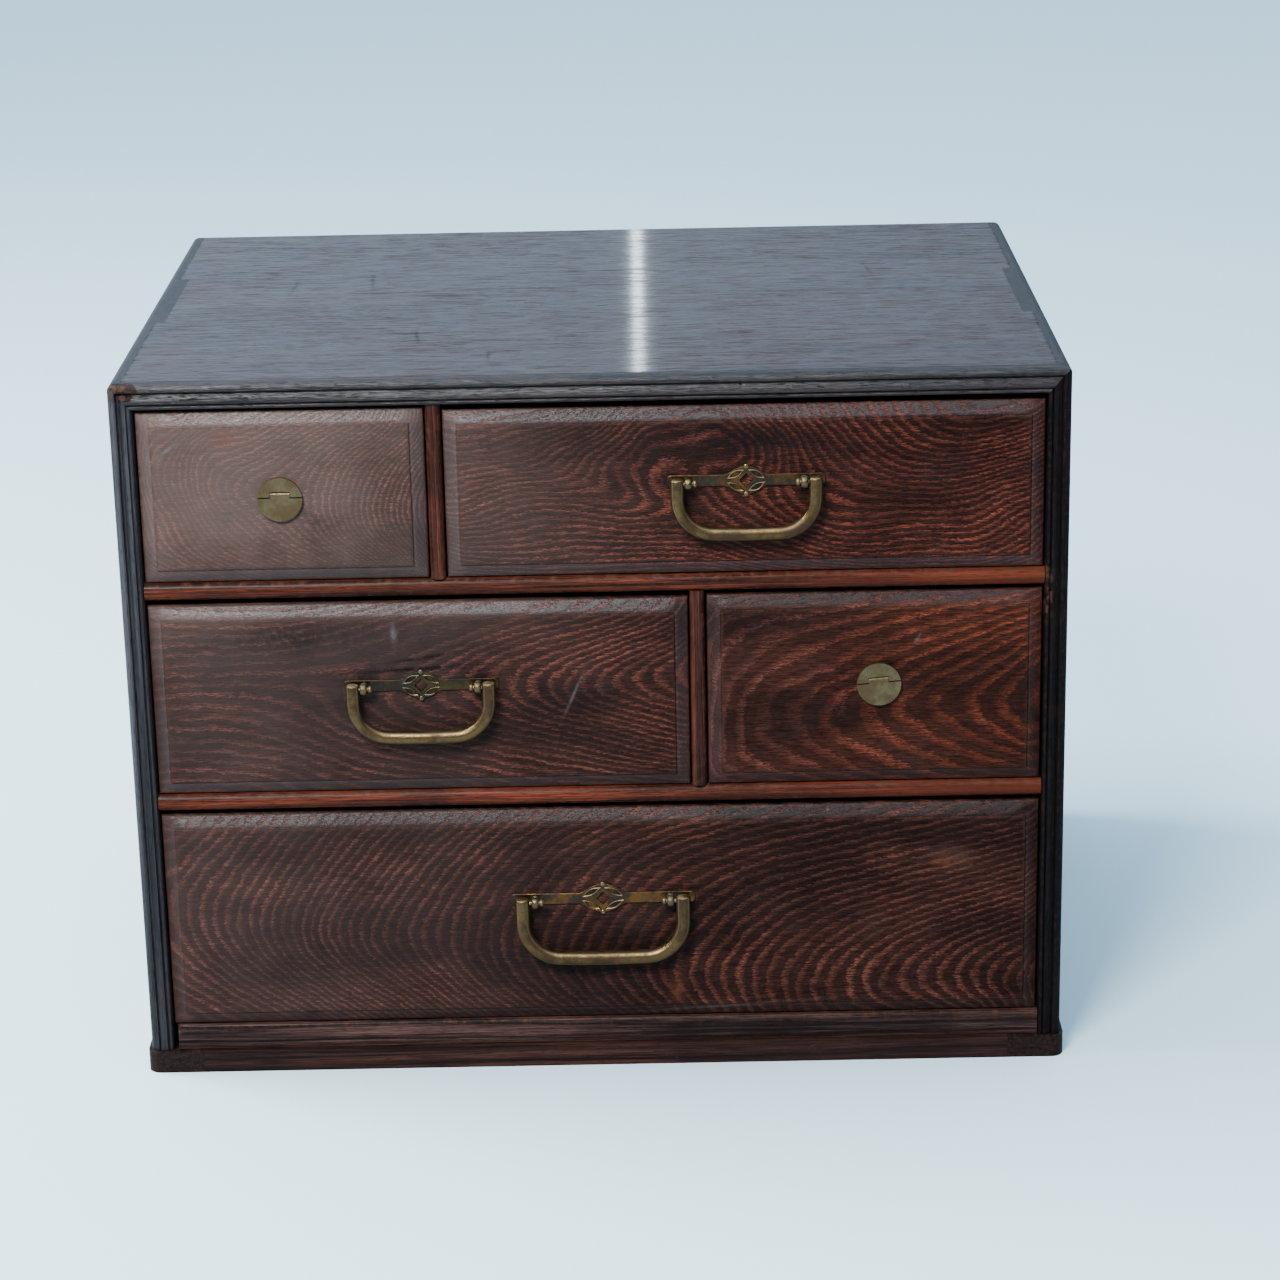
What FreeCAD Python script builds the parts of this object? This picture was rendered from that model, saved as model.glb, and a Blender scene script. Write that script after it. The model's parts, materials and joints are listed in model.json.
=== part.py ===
import FreeCAD, Part
import math
import os
import Sketcher
from FreeCAD import Placement, Rotation, Vector

# Tabletop chest with five drawers, brass drop handles and lift-flap pulls.
# Millimetres. +X to the right, +Y towards the back, +Z up. The origin is at
# the middle of the whole outline, handles included, on the resting plane.

doc = FreeCAD.newDocument("tabletop_chest")

SIZES = {
    # the case
    "case_width": 370, "case_depth": 277, "case_height": 288,
    "side_thick": 9.3, "top_thick": 10.5, "floor_thick": 10.5, "back_thick": 6,
    "edge_round": 3.2, "lap_strip": 5, "finger_length": 83,
    "left_finger_shift": 7.7, "right_finger_shift": -2, "shelf_housing": 2.5,
    # the base frame under it
    "base_height": 9, "base_lip": 1.5, "base_side_width": 23, "base_round": 5,
    # moulded strips round the front edge
    "moulding_depth": 5, "moulding_bead": 1.7, "moulding_groove": 0.8, "moulding_relief": 0.45,
    "groove_depth": 1.1,
    # rails and dividers between the drawers
    "rail_height": 7, "rail_depth": 12, "rail_nose": 2.6, "rail_recess": 1, "sill_depth": 12,
    "upper_tier": 70, "middle_tier": 81, "divider_width": 6,
    "upper_left_opening": 112.1, "middle_right_opening": 132.7,
    # drawer boxes
    "front_thick": 12, "field_proud": 0.5, "bevel_width": 5.6, "bevel_drop": 3.3,
    "box_side_thick": 6, "box_floor_thick": 4, "box_lap": 5, "box_drop": 1.5,
    "side_gap": 0.6, "under_gap": 0.4, "behind_gap": 4,
    "upper_left_gap": 1, "upper_right_gap": 2.4, "middle_left_gap": 2.5,
    "middle_right_gap": 1.8, "bottom_gap": 2,
    # drop handles: what all three share
    "plate_thick": 0.8, "plate_height": 4.7, "plate_round": 1.6, "motif_thick": 1.2,
    "motif_bead": 1, "motif_hole": 2.1, "eye_radius": 2.4, "eye_width": 2.8,
    "shank_radius": 1, "pivot_out": 4.7, "bail_pin_radius": 0.9, "bail_knob_radius": 1.4,
    "bail_knob_length": 1.7, "knob_chamfer": 0.5, "arm_rise": 1.4, "shank_clinch": 1,
    "running_gap": 0.06, "end_play": 0.35,
    # the two sizes of drop handle
    "small_plate_length": 61, "small_motif_width": 16, "small_motif_height": 11,
    "small_eye_spread": 22.4, "small_arm_spread": 26.7, "small_drop": 20.2,
    "small_bar_radius": 2.3, "small_bend": 11,
    "large_plate_length": 74, "large_motif_width": 18, "large_motif_height": 12,
    "large_eye_spread": 27.1, "large_arm_spread": 32.2, "large_drop": 24,
    "large_bar_radius": 2.5, "large_bend": 12,
    "upper_handle_shift": 0.5, "upper_handle_rise": 3.5,
    "middle_handle_shift": 0.4, "middle_handle_rise": 5,
    "bottom_handle_shift": 0.4, "bottom_handle_rise": 7.2,
    # round pulls with a lifting lower flap
    "pull_radius": 8.7, "cup_radius": 7.5, "cup_bore": 6.3, "cup_depth": 5,
    "cup_bore_depth": 3.4, "leaf_thick": 1.6, "leaf_seam": 1, "seam_gap": 0.15,
    "rest_gap": 0.1, "hinge_level": 1.9, "knuckle_radius": 0.9, "knuckle_half": 3.8,
    "knuckle_clear": 0.3, "swing_gap": 0.1, "pull_pin_radius": 0.4, "pull_pin_half": 5.4,
    "pull_tilt": 4.5,
    "upper_pull_shift": -0.8, "upper_pull_rise": -0.6,
    "middle_pull_shift": 1.6, "middle_pull_rise": 1.9,
}

sheet = doc.addObject("Spreadsheet::Sheet", "sizes")
for row, (name, value) in enumerate(SIZES.items(), start=1):
    sheet.set("A%d" % row, name)
    sheet.set("B%d" % row, str(value))
    sheet.setAlias("B%d" % row, name)
doc.recompute()


class Dim:
    """A length that carries both its number and the expression that drives it."""

    def __init__(self, value, text):
        self.value, self.text = float(value), text

    @staticmethod
    def of(item):
        return item if isinstance(item, Dim) else Dim(item, "(%s)" % float(item))

    def join(self, other, sign, value):
        return Dim(value, "(%s %s %s)" % (self.text, sign, Dim.of(other).text))

    def __add__(self, other):
        return self.join(other, "+", self.value + Dim.of(other).value)

    def __sub__(self, other):
        return self.join(other, "-", self.value - Dim.of(other).value)

    def __mul__(self, other):
        return self.join(other, "*", self.value * Dim.of(other).value)

    def __truediv__(self, other):
        return self.join(other, "/", self.value / Dim.of(other).value)

    def __neg__(self):
        return Dim.of(0) - self


def root_of(item):
    return Dim(item.value**0.5, "sqrt(%s)" % item.text)


class Sizes:
    """Every sheet cell as a Dim attribute."""


size = Sizes()
for name in SIZES:
    setattr(size, name, Dim(getattr(sheet, name), "sizes." + name))

parts = []


def drive(thing, prop, item):
    """Bind one property to its expression."""
    thing.setExpression(prop, Dim.of(item).text)


def place(thing, x, y, z):
    """Put a sub-part at a driven position."""
    spot = [Dim.of(item) for item in (x, y, z)]
    thing.Placement = Placement(Vector(*[item.value for item in spot]), thing.Placement.Rotation)
    for letter, item in zip("xyz", spot):
        drive(thing, "Placement.Base." + letter, item)


def new_body(label, x, y, z):
    body = doc.addObject("PartDesign::Body", label)
    body.Label = label
    place(body, x, y, z)
    parts.append(body)
    return body


def new_sketch(body, role, offset=0):
    """A sketch on one of the body's own planes, moved along the plane's normal."""
    plane = [item for item in body.Origin.OriginFeatures if item.Role == role][0]
    sketch = body.newObject("Sketcher::SketchObject", body.Name + "_sketch")
    sketch.AttachmentSupport = (plane, "")
    sketch.MapMode = "FlatFace"
    offset = Dim.of(offset)
    sketch.AttachmentOffset = Placement(Vector(0, 0, offset.value), Rotation())
    drive(sketch, "AttachmentOffset.Base.z", offset)
    return sketch


def constrain(sketch, item, *rule):
    item = Dim.of(item)
    index = sketch.addConstraint(Sketcher.Constraint(*rule, item.value))
    drive(sketch, "Constraints[%d]" % index, item)


def hold_point(sketch, piece, end, point):
    constrain(sketch, point[0], "DistanceX", -1, 1, piece, end)
    constrain(sketch, point[1], "DistanceY", -1, 1, piece, end)


def draw(sketch, points, closed=True):
    """Chain of points run anticlockwise. A third entry is the radius of the arc to the next
    point: positive bulges outwards, negative inwards."""
    spots = [Vector(Dim.of(p[0]).value, Dim.of(p[1]).value, 0) for p in points]
    for i in range(len(points) if closed else len(points) - 1):
        j = (i + 1) % len(points)
        start, end = spots[i], spots[j]
        if len(points[i]) == 2:
            piece = sketch.addGeometry(Part.LineSegment(start, end))
            ends = (1, 2)
        else:
            radius = Dim.of(points[i][2])
            way = 1 if radius.value > 0 else -1
            half = (end - start).Length / 2
            rise = max(radius.value**2 - half**2, 0) ** 0.5
            out = Vector(end.y - start.y, start.x - end.x, 0).normalize() * way
            centre = (start + end) / 2 - out * rise
            first, last = (start, end) if way > 0 else (end, start)
            angles = [math.atan2(spot.y - centre.y, spot.x - centre.x) for spot in (first, last)]
            circle = Part.Circle(centre, Vector(0, 0, 1), abs(radius.value))
            piece = sketch.addGeometry(Part.ArcOfCircle(circle, *angles))
            ends = (1, 2) if way > 0 else (2, 1)
            constrain(sketch, radius if way > 0 else -radius, "Radius", piece)
        hold_point(sketch, piece, ends[0], points[i])
        hold_point(sketch, piece, ends[1], points[j])
    return sketch


def draw_circle(sketch, x, y, radius):
    x, y, radius = Dim.of(x), Dim.of(y), Dim.of(radius)
    circle = Part.Circle(Vector(x.value, y.value, 0), Vector(0, 0, 1), radius.value)
    piece = sketch.addGeometry(circle)
    hold_point(sketch, piece, 3, (x, y))
    constrain(sketch, radius, "Radius", piece)


def box_points(x, y):
    return [(x[0], y[0]), (x[1], y[0]), (x[1], y[1]), (x[0], y[1])]


def rounded_box_points(x, y, r):
    return [
        (x[0] + r, y[0]), (x[1] - r, y[0], r), (x[1], y[0] + r), (x[1], y[1] - r, r),
        (x[1] - r, y[1]), (x[0] + r, y[1], r), (x[0], y[1] - r), (x[0], y[0] + r, r),
    ]


def pad(body, sketch, length):
    """Grow the sketch along its normal."""
    feature = body.newObject("PartDesign::Pad", body.Name + "_pad")
    feature.Profile = sketch
    feature.Length = Dim.of(length).value
    drive(feature, "Length", length)
    return feature


def pocket(body, sketch, length):
    """Cut the sketch against its normal."""
    before = body.Tip
    feature = body.newObject("PartDesign::Pocket", body.Name + "_pocket")
    feature.Profile = sketch
    feature.Length = Dim.of(length).value
    drive(feature, "Length", length)
    cuts.append((feature, before))
    return feature


cuts = []


def board(label, x, y, z):
    """Squared board between two levels on each axis."""
    body = new_body(label, x[0], y[0], z[0])
    rect = draw(new_sketch(body, "XY_Plane"), box_points((0, x[1] - x[0]), (0, y[1] - y[0])))
    pad(body, rect, z[1] - z[0])
    return body


def cut_board(body, corner, x, y, z):
    """Cut a squared recess, given in the chest's frame, from a board that starts at corner."""
    sketch = new_sketch(body, "XY_Plane", z[1] - corner[2])
    across = [item - corner[0] for item in x]
    along = [item - corner[1] for item in y]
    pocket(body, draw(sketch, box_points(across, along)), z[1] - z[0])


def corner_points(x, y, way_x, way_y, r):
    """The sliver outside a rounded corner at x, y whose board lies towards way_x, way_y."""
    points = [(x, y), (x + r * way_x, y, -r), (x, y + r * way_y)]
    if way_x * way_y < 0:
        points = [(x, y), (x, y + r * way_y, -r), (x + r * way_x, y)]
    return points


# Levels shared by many boards.
half_width = size.case_width / 2
reach = size.field_proud + size.pivot_out + size.large_bar_radius
front = -(size.case_depth - reach) / 2
back = front + size.case_depth
inner_back = back - size.back_thick
right_in = half_width - size.side_thick
left_in = -right_in
top_under = size.case_height - size.top_thick
floor_top = size.base_height + size.floor_thick
strip_back = front + size.moulding_depth
rail_front = front + size.rail_recess
rail_back = rail_front + size.rail_depth
field = front - size.field_proud
upper_rail_level = top_under - size.upper_tier - size.rail_height
lower_rail_level = upper_rail_level - size.middle_tier - size.rail_height
upper_rail_top = upper_rail_level + size.rail_height
lower_rail_top = lower_rail_level + size.rail_height
half_divider = size.divider_width / 2
upper_split = left_in + size.upper_left_opening + half_divider
lower_split = right_in - size.middle_right_opening - half_divider

# Base frame: two end rails run front to back and the front rail fits between them.
lip = half_width + size.base_lip
base_front = front - size.base_lip
for name, way in (("base_left_rail", -1), ("base_right_rail", 1)):
    inner = lip - size.base_side_width
    span = (-lip, -inner) if way < 0 else (inner, lip)
    body = board(name, span, (base_front, back), (0, size.base_height))
    edge = Dim.of(0) if way < 0 else size.base_side_width
    sliver = corner_points(edge, Dim.of(0), -way, 1, size.base_round)
    pocket(body, draw(new_sketch(body, "XY_Plane", size.base_height), sliver), size.base_height)
between = (size.base_side_width - lip, lip - size.base_side_width)
board("base_front_rail", between, (base_front, base_front + size.base_side_width), (0, size.base_height))

# Side boards: only the outer strip reaches the top surface, except at one long finger
# where the full thickness comes through the top board.
top_corner = (-half_width + size.lap_strip, strip_back, top_under)
top = board(
    "top_board",
    (-half_width + size.lap_strip, half_width - size.lap_strip),
    (strip_back, back),
    (top_under, size.case_height),
)
for name, way, shift in (
    ("left_side_board", -1, size.left_finger_shift),
    ("right_side_board", 1, size.right_finger_shift),
):
    middle = (front + back) / 2 + shift
    finger = (middle - size.finger_length / 2, middle + size.finger_length / 2)
    span = (-half_width, left_in) if way < 0 else (right_in, half_width)
    corner = (span[0], strip_back, size.base_height)
    side = board(name, span, (strip_back, back), (size.base_height, size.case_height))
    lap = sorted((span[0] if way > 0 else span[1], (half_width - size.lap_strip) * way),
                 key=lambda item: item.value)
    for stretch in ((strip_back, finger[0]), (finger[1], back)):
        cut_board(side, corner, lap, stretch, (top_under, size.case_height))
    cut_board(top, top_corner, lap, finger, (top_under, size.case_height))
    housing = (left_in - size.shelf_housing, left_in) if way < 0 else (
        right_in, right_in + size.shelf_housing)
    for level in (lower_rail_level, upper_rail_level):
        cut_board(side, corner, housing, (rail_back, inner_back),
                  (level, level + size.rail_height))
    edge = Dim.of(0) if way < 0 else size.side_thick
    sliver = corner_points(edge, size.case_height - size.base_height, -way, -1, size.edge_round)
    sketch = draw(new_sketch(side, "XZ_Plane"), sliver)
    pocket(side, sketch, back - strip_back)

board("back_board", (left_in, right_in), (inner_back, back), (size.base_height, top_under))
sill_back = rail_front + size.sill_depth
floor_levels = (size.base_height, floor_top)
board("front_sill", (left_in, right_in), (rail_front, sill_back), floor_levels)
board("floor_board", (left_in, right_in), (sill_back, inner_back), floor_levels)


def moulding_points(width):
    """Front section of the moulded strip, from its inner edge to its rounded outer edge."""
    relief, deep = size.moulding_relief, size.groove_depth
    bead, groove, nose = size.moulding_bead, size.moulding_groove, size.edge_round
    band_in, band_out = bead + groove, width - nose - groove
    bead_arc = (bead * bead / 4 + relief * relief) / (relief * 2)
    band = band_out - band_in
    band_arc = (band * band / 4 + relief * relief) / (relief * 2)
    return [
        (0, size.moulding_depth), (0, relief, bead_arc), (bead, relief),
        (bead + groove / 2, deep), (band_in, relief, band_arc), (band_out, relief),
        (band_out + groove / 2, deep), (width - nose, 0, nose), (width, nose),
        (width, size.moulding_depth),
    ]


def reversed_points(points, flip):
    """The same outline seen from the other side: order reversed, arcs kept on their edges."""
    turned = []
    for i in range(len(points) - 1, -1, -1):
        arc = points[i - 1][2:]
        turned.append(flip(points[i]) + tuple(arc))
    return turned


for name, way in (("left_moulding", -1), ("right_moulding", 1)):
    body = new_body(name, half_width * way, front, size.base_height)
    points = moulding_points(size.side_thick)
    if way > 0:
        outline = [(p[0] - size.side_thick if isinstance(p[0], Dim) else -size.side_thick,)
                   + tuple(p[1:]) for p in points]
    else:
        outline = reversed_points(points, lambda p: (size.side_thick - p[0], p[1]))
    tall = size.case_height - size.base_height
    pad(body, draw(new_sketch(body, "XY_Plane"), outline), tall)
    inner = size.side_thick * -way
    mitre = [(0, tall), (inner, tall), (inner, tall - size.top_thick)]
    if way < 0:
        mitre = [mitre[0], mitre[2], mitre[1]]
    pocket(body, draw(new_sketch(body, "XZ_Plane"), mitre), size.moulding_depth)
    sliver = corner_points(Dim.of(0), tall, -way, -1, size.edge_round)
    pocket(body, draw(new_sketch(body, "XZ_Plane"), sliver), size.moulding_depth)

body = new_body("top_moulding", -half_width, front, top_under)
section = reversed_points(moulding_points(size.top_thick), lambda p: (p[1], p[0]))
pad(body, draw(new_sketch(body, "YZ_Plane"), section), size.case_width)
for x, way in ((Dim.of(0), 1), (size.case_width, -1)):
    inner = x + size.side_thick * way
    mitre = [(x, size.top_thick), (x, 0), (inner, 0)]
    if way < 0:
        mitre = [mitre[0], mitre[2], mitre[1]]
    pocket(body, draw(new_sketch(body, "XZ_Plane"), mitre), size.moulding_depth)
    sliver = corner_points(x, size.top_thick, way, -1, size.edge_round)
    pocket(body, draw(new_sketch(body, "XZ_Plane"), sliver), size.moulding_depth)

# Rails, dividers, shelves and partitions. Rails and dividers have a half-round nose.
nose_arc = {}
for key, wide in (("rail", size.rail_height), ("divider", size.divider_width)):
    nose_arc[key] = (wide * wide / 4 + size.rail_nose * size.rail_nose) / (size.rail_nose * 2)
inner_width = right_in - left_in
for name, level in (("lower", lower_rail_level), ("upper", upper_rail_level)):
    body = new_body(name + "_rail", left_in, rail_front, level)
    section = [
        (size.rail_nose, 0), (size.rail_depth, 0), (size.rail_depth, size.rail_height),
        (size.rail_nose, size.rail_height, nose_arc["rail"]),
    ]
    pad(body, draw(new_sketch(body, "YZ_Plane"), section), inner_width)
    board(
        name + "_shelf",
        (left_in - size.shelf_housing, right_in + size.shelf_housing),
        (rail_back, inner_back),
        (level, level + size.rail_height),
    )
for name, middle, low, high in (
    ("lower", lower_split, lower_rail_top, upper_rail_level),
    ("upper", upper_split, upper_rail_top, top_under),
):
    body = new_body(name + "_divider", middle - half_divider, rail_front, low)
    section = [
        (0, size.rail_nose, nose_arc["divider"]), (size.divider_width, size.rail_nose),
        (size.divider_width, size.rail_depth), (0, size.rail_depth),
    ]
    pad(body, draw(new_sketch(body, "XY_Plane"), section), high - low)
    span = (middle - half_divider, middle + half_divider)
    board(name + "_partition", span, (rail_back, inner_back), (low, high))


def drawer(name, x, z, holes):
    """Five-piece drawer: bevelled front, two sides lapped into it, a back and a nailed floor."""
    wide, tall = x[1] - x[0], z[1] - z[0]
    body = new_body(name + "_front", x[0], field, z[0])
    outer = ((0, wide), (0, tall))
    edge, drop = size.bevel_width, size.bevel_drop
    slab = draw(new_sketch(body, "XZ_Plane", -size.front_thick), box_points(*outer))
    pad(body, slab, size.front_thick - drop)
    low_edge = draw(new_sketch(body, "XZ_Plane", -drop), box_points(*outer))
    raised = ((edge, wide - edge), (edge, tall - edge))
    high_edge = draw(new_sketch(body, "XZ_Plane"), box_points(*raised))
    loft = body.newObject("PartDesign::AdditiveLoft", body.Name + "_loft")
    loft.Profile = low_edge
    loft.Sections = [high_edge]
    lap_depth = size.front_thick - size.box_lap
    for span in ((0, size.box_side_thick), (wide - size.box_side_thick, wide)):
        lap = draw(new_sketch(body, "XZ_Plane", -lap_depth),
                   box_points(span, (size.box_floor_thick, tall)))
        pocket(body, lap, size.box_lap)
    for hole_x, hole_z, radius, depth in holes:
        sketch = new_sketch(body, "XZ_Plane")
        draw_circle(sketch, hole_x - x[0], hole_z - z[0], radius)
        pocket(body, sketch, depth)
    box_front = field + size.front_thick
    box_back = inner_back - size.behind_gap
    walls = (z[0] + size.box_floor_thick, z[1] - size.box_drop)
    board(name + "_floor", x, (box_front, box_back), (z[0], z[0] + size.box_floor_thick))
    left = (x[0], x[0] + size.box_side_thick)
    right = (x[1] - size.box_side_thick, x[1])
    board(name + "_left_side", left, (field + lap_depth, box_back), walls)
    board(name + "_right_side", right, (field + lap_depth, box_back), walls)
    board(name + "_back", (left[1], right[0]), (box_back - size.box_side_thick, box_back), walls)


def drop_handle(name, kind, x, z):
    """Brass handle: pierced back plate, two eye posts through the front and a swinging bail."""
    def sized(item):
        return getattr(size, kind + "_" + item)

    spread = sized("eye_spread")
    plate = new_body(name + "_plate", x, field, z)
    half, tall = sized("plate_length") / 2, size.plate_height / 2
    strip = draw(new_sketch(plate, "XZ_Plane"),
                 rounded_box_points((-half, half), (-tall, tall), size.plate_round))
    pad(plate, strip, size.plate_thick)
    wide, high = sized("motif_width") / 2, sized("motif_height") / 2
    motif = draw(new_sketch(plate, "XZ_Plane"), [(0, -high), (wide, 0), (0, high), (-wide, 0)])
    pad(plate, motif, size.motif_thick)
    for way in (-1, 1):
        sketch = new_sketch(plate, "XZ_Plane")
        draw_circle(sketch, 0, high * way, size.motif_bead)
        pad(plate, sketch, size.motif_thick)
    hole = size.motif_hole
    sketch = new_sketch(plate, "XZ_Plane", size.motif_thick)
    pocket(plate, draw(sketch, [(0, -hole), (hole, 0), (0, hole), (-hole, 0)]), size.motif_thick)
    for way in (-1, 1):
        sketch = new_sketch(plate, "XZ_Plane", size.motif_thick)
        draw_circle(sketch, spread * way, 0, size.shank_radius)
        pocket(plate, sketch, size.motif_thick)

    posts = []
    pivot_y = field - size.pivot_out
    for way in (-1, 1):
        ring = doc.addObject("Part::Cylinder", name + "_ring")
        drive(ring, "Radius", size.eye_radius)
        drive(ring, "Height", size.eye_width)
        ring.Placement.Rotation = Rotation(Vector(0, 1, 0), 90)
        place(ring, spread * way - size.eye_width / 2, 0, 0)
        shank = doc.addObject("Part::Cylinder", name + "_shank")
        drive(shank, "Radius", size.shank_radius)
        drive(shank, "Height", size.pivot_out + size.front_thick + size.shank_clinch)
        shank.Placement.Rotation = Rotation(Vector(1, 0, 0), -90)
        place(shank, spread * way, 0, 0)
        bore = doc.addObject("Part::Cylinder", name + "_bore")
        drive(bore, "Radius", size.bail_pin_radius + size.running_gap)
        drive(bore, "Height", size.eye_width * 2)
        bore.Placement.Rotation = Rotation(Vector(0, 1, 0), 90)
        place(bore, spread * way - size.eye_width, 0, 0)
        solid = doc.addObject("Part::Fuse", name + "_blank")
        solid.Base, solid.Tool = ring, shank
        post = doc.addObject("Part::Cut", name + "_post")
        post.Base, post.Tool = solid, bore
        posts.append(post)
    eyes = doc.addObject("Part::Compound", name + "_eyes")
    eyes.Label = name + "_eyes"
    eyes.Links = posts
    place(eyes, x, pivot_y, z)
    parts.append(eyes)

    bail = new_body(name + "_bail", x, pivot_y, z)
    arm, drop, bend, bar = (sized(k) for k in ("arm_spread", "drop", "bend", "bar_radius"))
    path = draw(new_sketch(bail, "XZ_Plane"), [
        (-arm, size.arm_rise), (-arm, bend - drop, bend), (bend - arm, -drop),
        (arm - bend, -drop, bend), (arm, bend - drop), (arm, size.arm_rise),
    ], closed=False)
    ring = new_sketch(bail, "XY_Plane", size.arm_rise)
    draw_circle(ring, -arm, 0, bar)
    bow = bail.newObject("PartDesign::AdditivePipe", bail.Name + "_bow")
    bow.Profile = ring
    bow.Spine = (path, ["Edge%d" % n for n in range(1, 6)])
    pin, knob = size.bail_pin_radius, size.bail_knob_radius
    knob_out = spread - size.eye_width / 2 - size.end_play
    knob_in = knob_out - size.bail_knob_length
    turned = draw(new_sketch(bail, "XZ_Plane"), [
        (knob_in, 0), (arm, 0), (arm, pin), (knob_out, pin), (knob_out, knob),
        (knob_in + size.knob_chamfer, knob), (knob_in, knob - size.knob_chamfer),
    ])
    hook = bail.newObject("PartDesign::Revolution", bail.Name + "_hook")
    hook.Profile = turned
    hook.ReferenceAxis = (turned, ["H_Axis"])
    hook.Angle = 360
    other = bail.newObject("PartDesign::Mirrored", bail.Name + "_hooks")
    other.Originals = [hook]
    plane = [item for item in bail.Origin.OriginFeatures if item.Role == "YZ_Plane"][0]
    other.MirrorPlane = (plane, [""])
    bail.Tip = other


def flap_pull(name, x, z, tilt):
    """Round brass pull: a cup let into the front with a fixed upper leaf, and a lower flap that
    lifts on a pin. The flap's edge stays outside the circle that the leaf's corner makes."""
    r, thick, seam = size.pull_radius, size.leaf_thick, size.leaf_seam
    gap, half = size.seam_gap, size.knuckle_half
    axis_y = -thick + size.knuckle_radius
    clear = size.knuckle_radius + size.knuckle_clear

    def chord_half(level):
        return root_of(r * r - level * level)

    cup = new_body(name + "_cup", x, field, z)
    sketch = new_sketch(cup, "XZ_Plane", -size.cup_depth)
    draw_circle(sketch, 0, 0, size.cup_radius)
    pad(cup, sketch, size.cup_depth)
    sketch = new_sketch(cup, "XZ_Plane")
    draw_circle(sketch, 0, 0, size.cup_bore)
    pocket(cup, sketch, size.cup_bore_depth)
    notch, notch_top = half + gap, size.hinge_level + clear
    wide = chord_half(seam)
    leaf = draw(new_sketch(cup, "XZ_Plane"), [
        (-wide, seam), (-notch, seam), (-notch, notch_top), (notch, notch_top),
        (notch, seam), (wide, seam, r), (0, r, r),
    ])
    pad(cup, leaf, thick)
    bore = new_sketch(cup, "YZ_Plane", size.pull_pin_half)
    draw_circle(bore, axis_y, size.hinge_level, size.pull_pin_radius)
    pocket(cup, bore, size.pull_pin_half * 2)

    flap = new_body(name + "_flap", x, field, z)
    rise = size.hinge_level - seam
    swing = root_of(size.knuckle_radius * size.knuckle_radius + rise * rise)
    edge = size.hinge_level - swing - size.swing_gap
    wide = chord_half(edge)
    leaf = draw(new_sketch(flap, "XZ_Plane", size.rest_gap), [
        (wide, edge), (-wide, edge, r), (0, -r, r),
    ])
    pad(flap, leaf, thick - size.rest_gap)
    tongue = draw(new_sketch(flap, "XZ_Plane", size.rest_gap),
                  box_points((-half, half), (edge - 1, size.hinge_level)))
    pad(flap, tongue, thick - size.rest_gap)
    sketch = new_sketch(flap, "YZ_Plane", -half)
    draw_circle(sketch, axis_y, size.hinge_level, size.knuckle_radius)
    pad(flap, sketch, half * 2)
    bore = new_sketch(flap, "YZ_Plane", half)
    draw_circle(bore, axis_y, size.hinge_level, size.pull_pin_radius + size.running_gap)
    pocket(flap, bore, half * 2)

    pin = new_body(name + "_pin", x, field, z)
    sketch = new_sketch(pin, "YZ_Plane", -size.pull_pin_half)
    draw_circle(sketch, axis_y, size.hinge_level, size.pull_pin_radius)
    pad(pin, sketch, size.pull_pin_half * 2)
    for body in (cup, flap, pin):
        body.Placement.Rotation = Rotation(Vector(0, -1, 0), Dim.of(tilt).value)
        drive(body, "Placement.Rotation.Angle", Dim.of(tilt))


# Each drawer fills the opening left by the rails, dividers and side boards around it. Its
# handle or pull sits at the middle of that opening, moved by its own shift and rise.
for name, x, z, top_gap, fitting in (
    ("upper_left", (left_in, upper_split - half_divider), (upper_rail_top, top_under),
     size.upper_left_gap, ("pull", size.upper_pull_shift, size.upper_pull_rise, Dim.of(0))),
    ("upper_right", (upper_split + half_divider, right_in), (upper_rail_top, top_under),
     size.upper_right_gap, ("small", size.upper_handle_shift, size.upper_handle_rise, None)),
    ("middle_left", (left_in, lower_split - half_divider), (lower_rail_top, upper_rail_level),
     size.middle_left_gap, ("small", size.middle_handle_shift, size.middle_handle_rise, None)),
    ("middle_right", (lower_split + half_divider, right_in), (lower_rail_top, upper_rail_level),
     size.middle_right_gap,
     ("pull", size.middle_pull_shift, size.middle_pull_rise, size.pull_tilt)),
    ("bottom", (left_in, right_in), (floor_top, lower_rail_level),
     size.bottom_gap, ("large", size.bottom_handle_shift, size.bottom_handle_rise, None)),
):
    kind, shift, rise, tilt = fitting
    spot = ((x[0] + x[1]) / 2 + shift, (z[0] + z[1]) / 2 + rise)
    if kind == "pull":
        holes = [spot + (size.cup_radius, size.cup_depth)]
        flap_pull(name + "_pull", *spot, tilt)
    else:
        spread = getattr(size, kind + "_eye_spread")
        holes = [(spot[0] + spread * way, spot[1], size.shank_radius, size.front_thick)
                 for way in (-1, 1)]
        drop_handle(name + "_handle", kind, *spot)
    drawer(name + "_drawer", (x[0] + size.side_gap, x[1] - size.side_gap),
           (z[0] + size.under_gap, z[1] - top_gap), holes)

doc.recompute()
for item in doc.Objects:
    if "Invalid" in item.State or "Error" in item.State:
        raise RuntimeError("%s did not build: %s" % (item.Label, item.State))
for feature, before in cuts:
    if feature.Shape.Volume > before.Shape.Volume - 1e-6:
        raise RuntimeError("%s cuts nothing" % feature.Name)
os.makedirs("parts", exist_ok=True)
for item in parts:
    if item.Shape.isNull() or not item.Shape.isValid():
        raise RuntimeError("%s has no valid shape" % item.Label)
    item.Shape.exportStep("parts/%s.step" % item.Label)
print("%d sub-parts" % len(parts))
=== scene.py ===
import json
import math

import bmesh
import bpy
from mathutils import Matrix, Vector, noise


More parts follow.
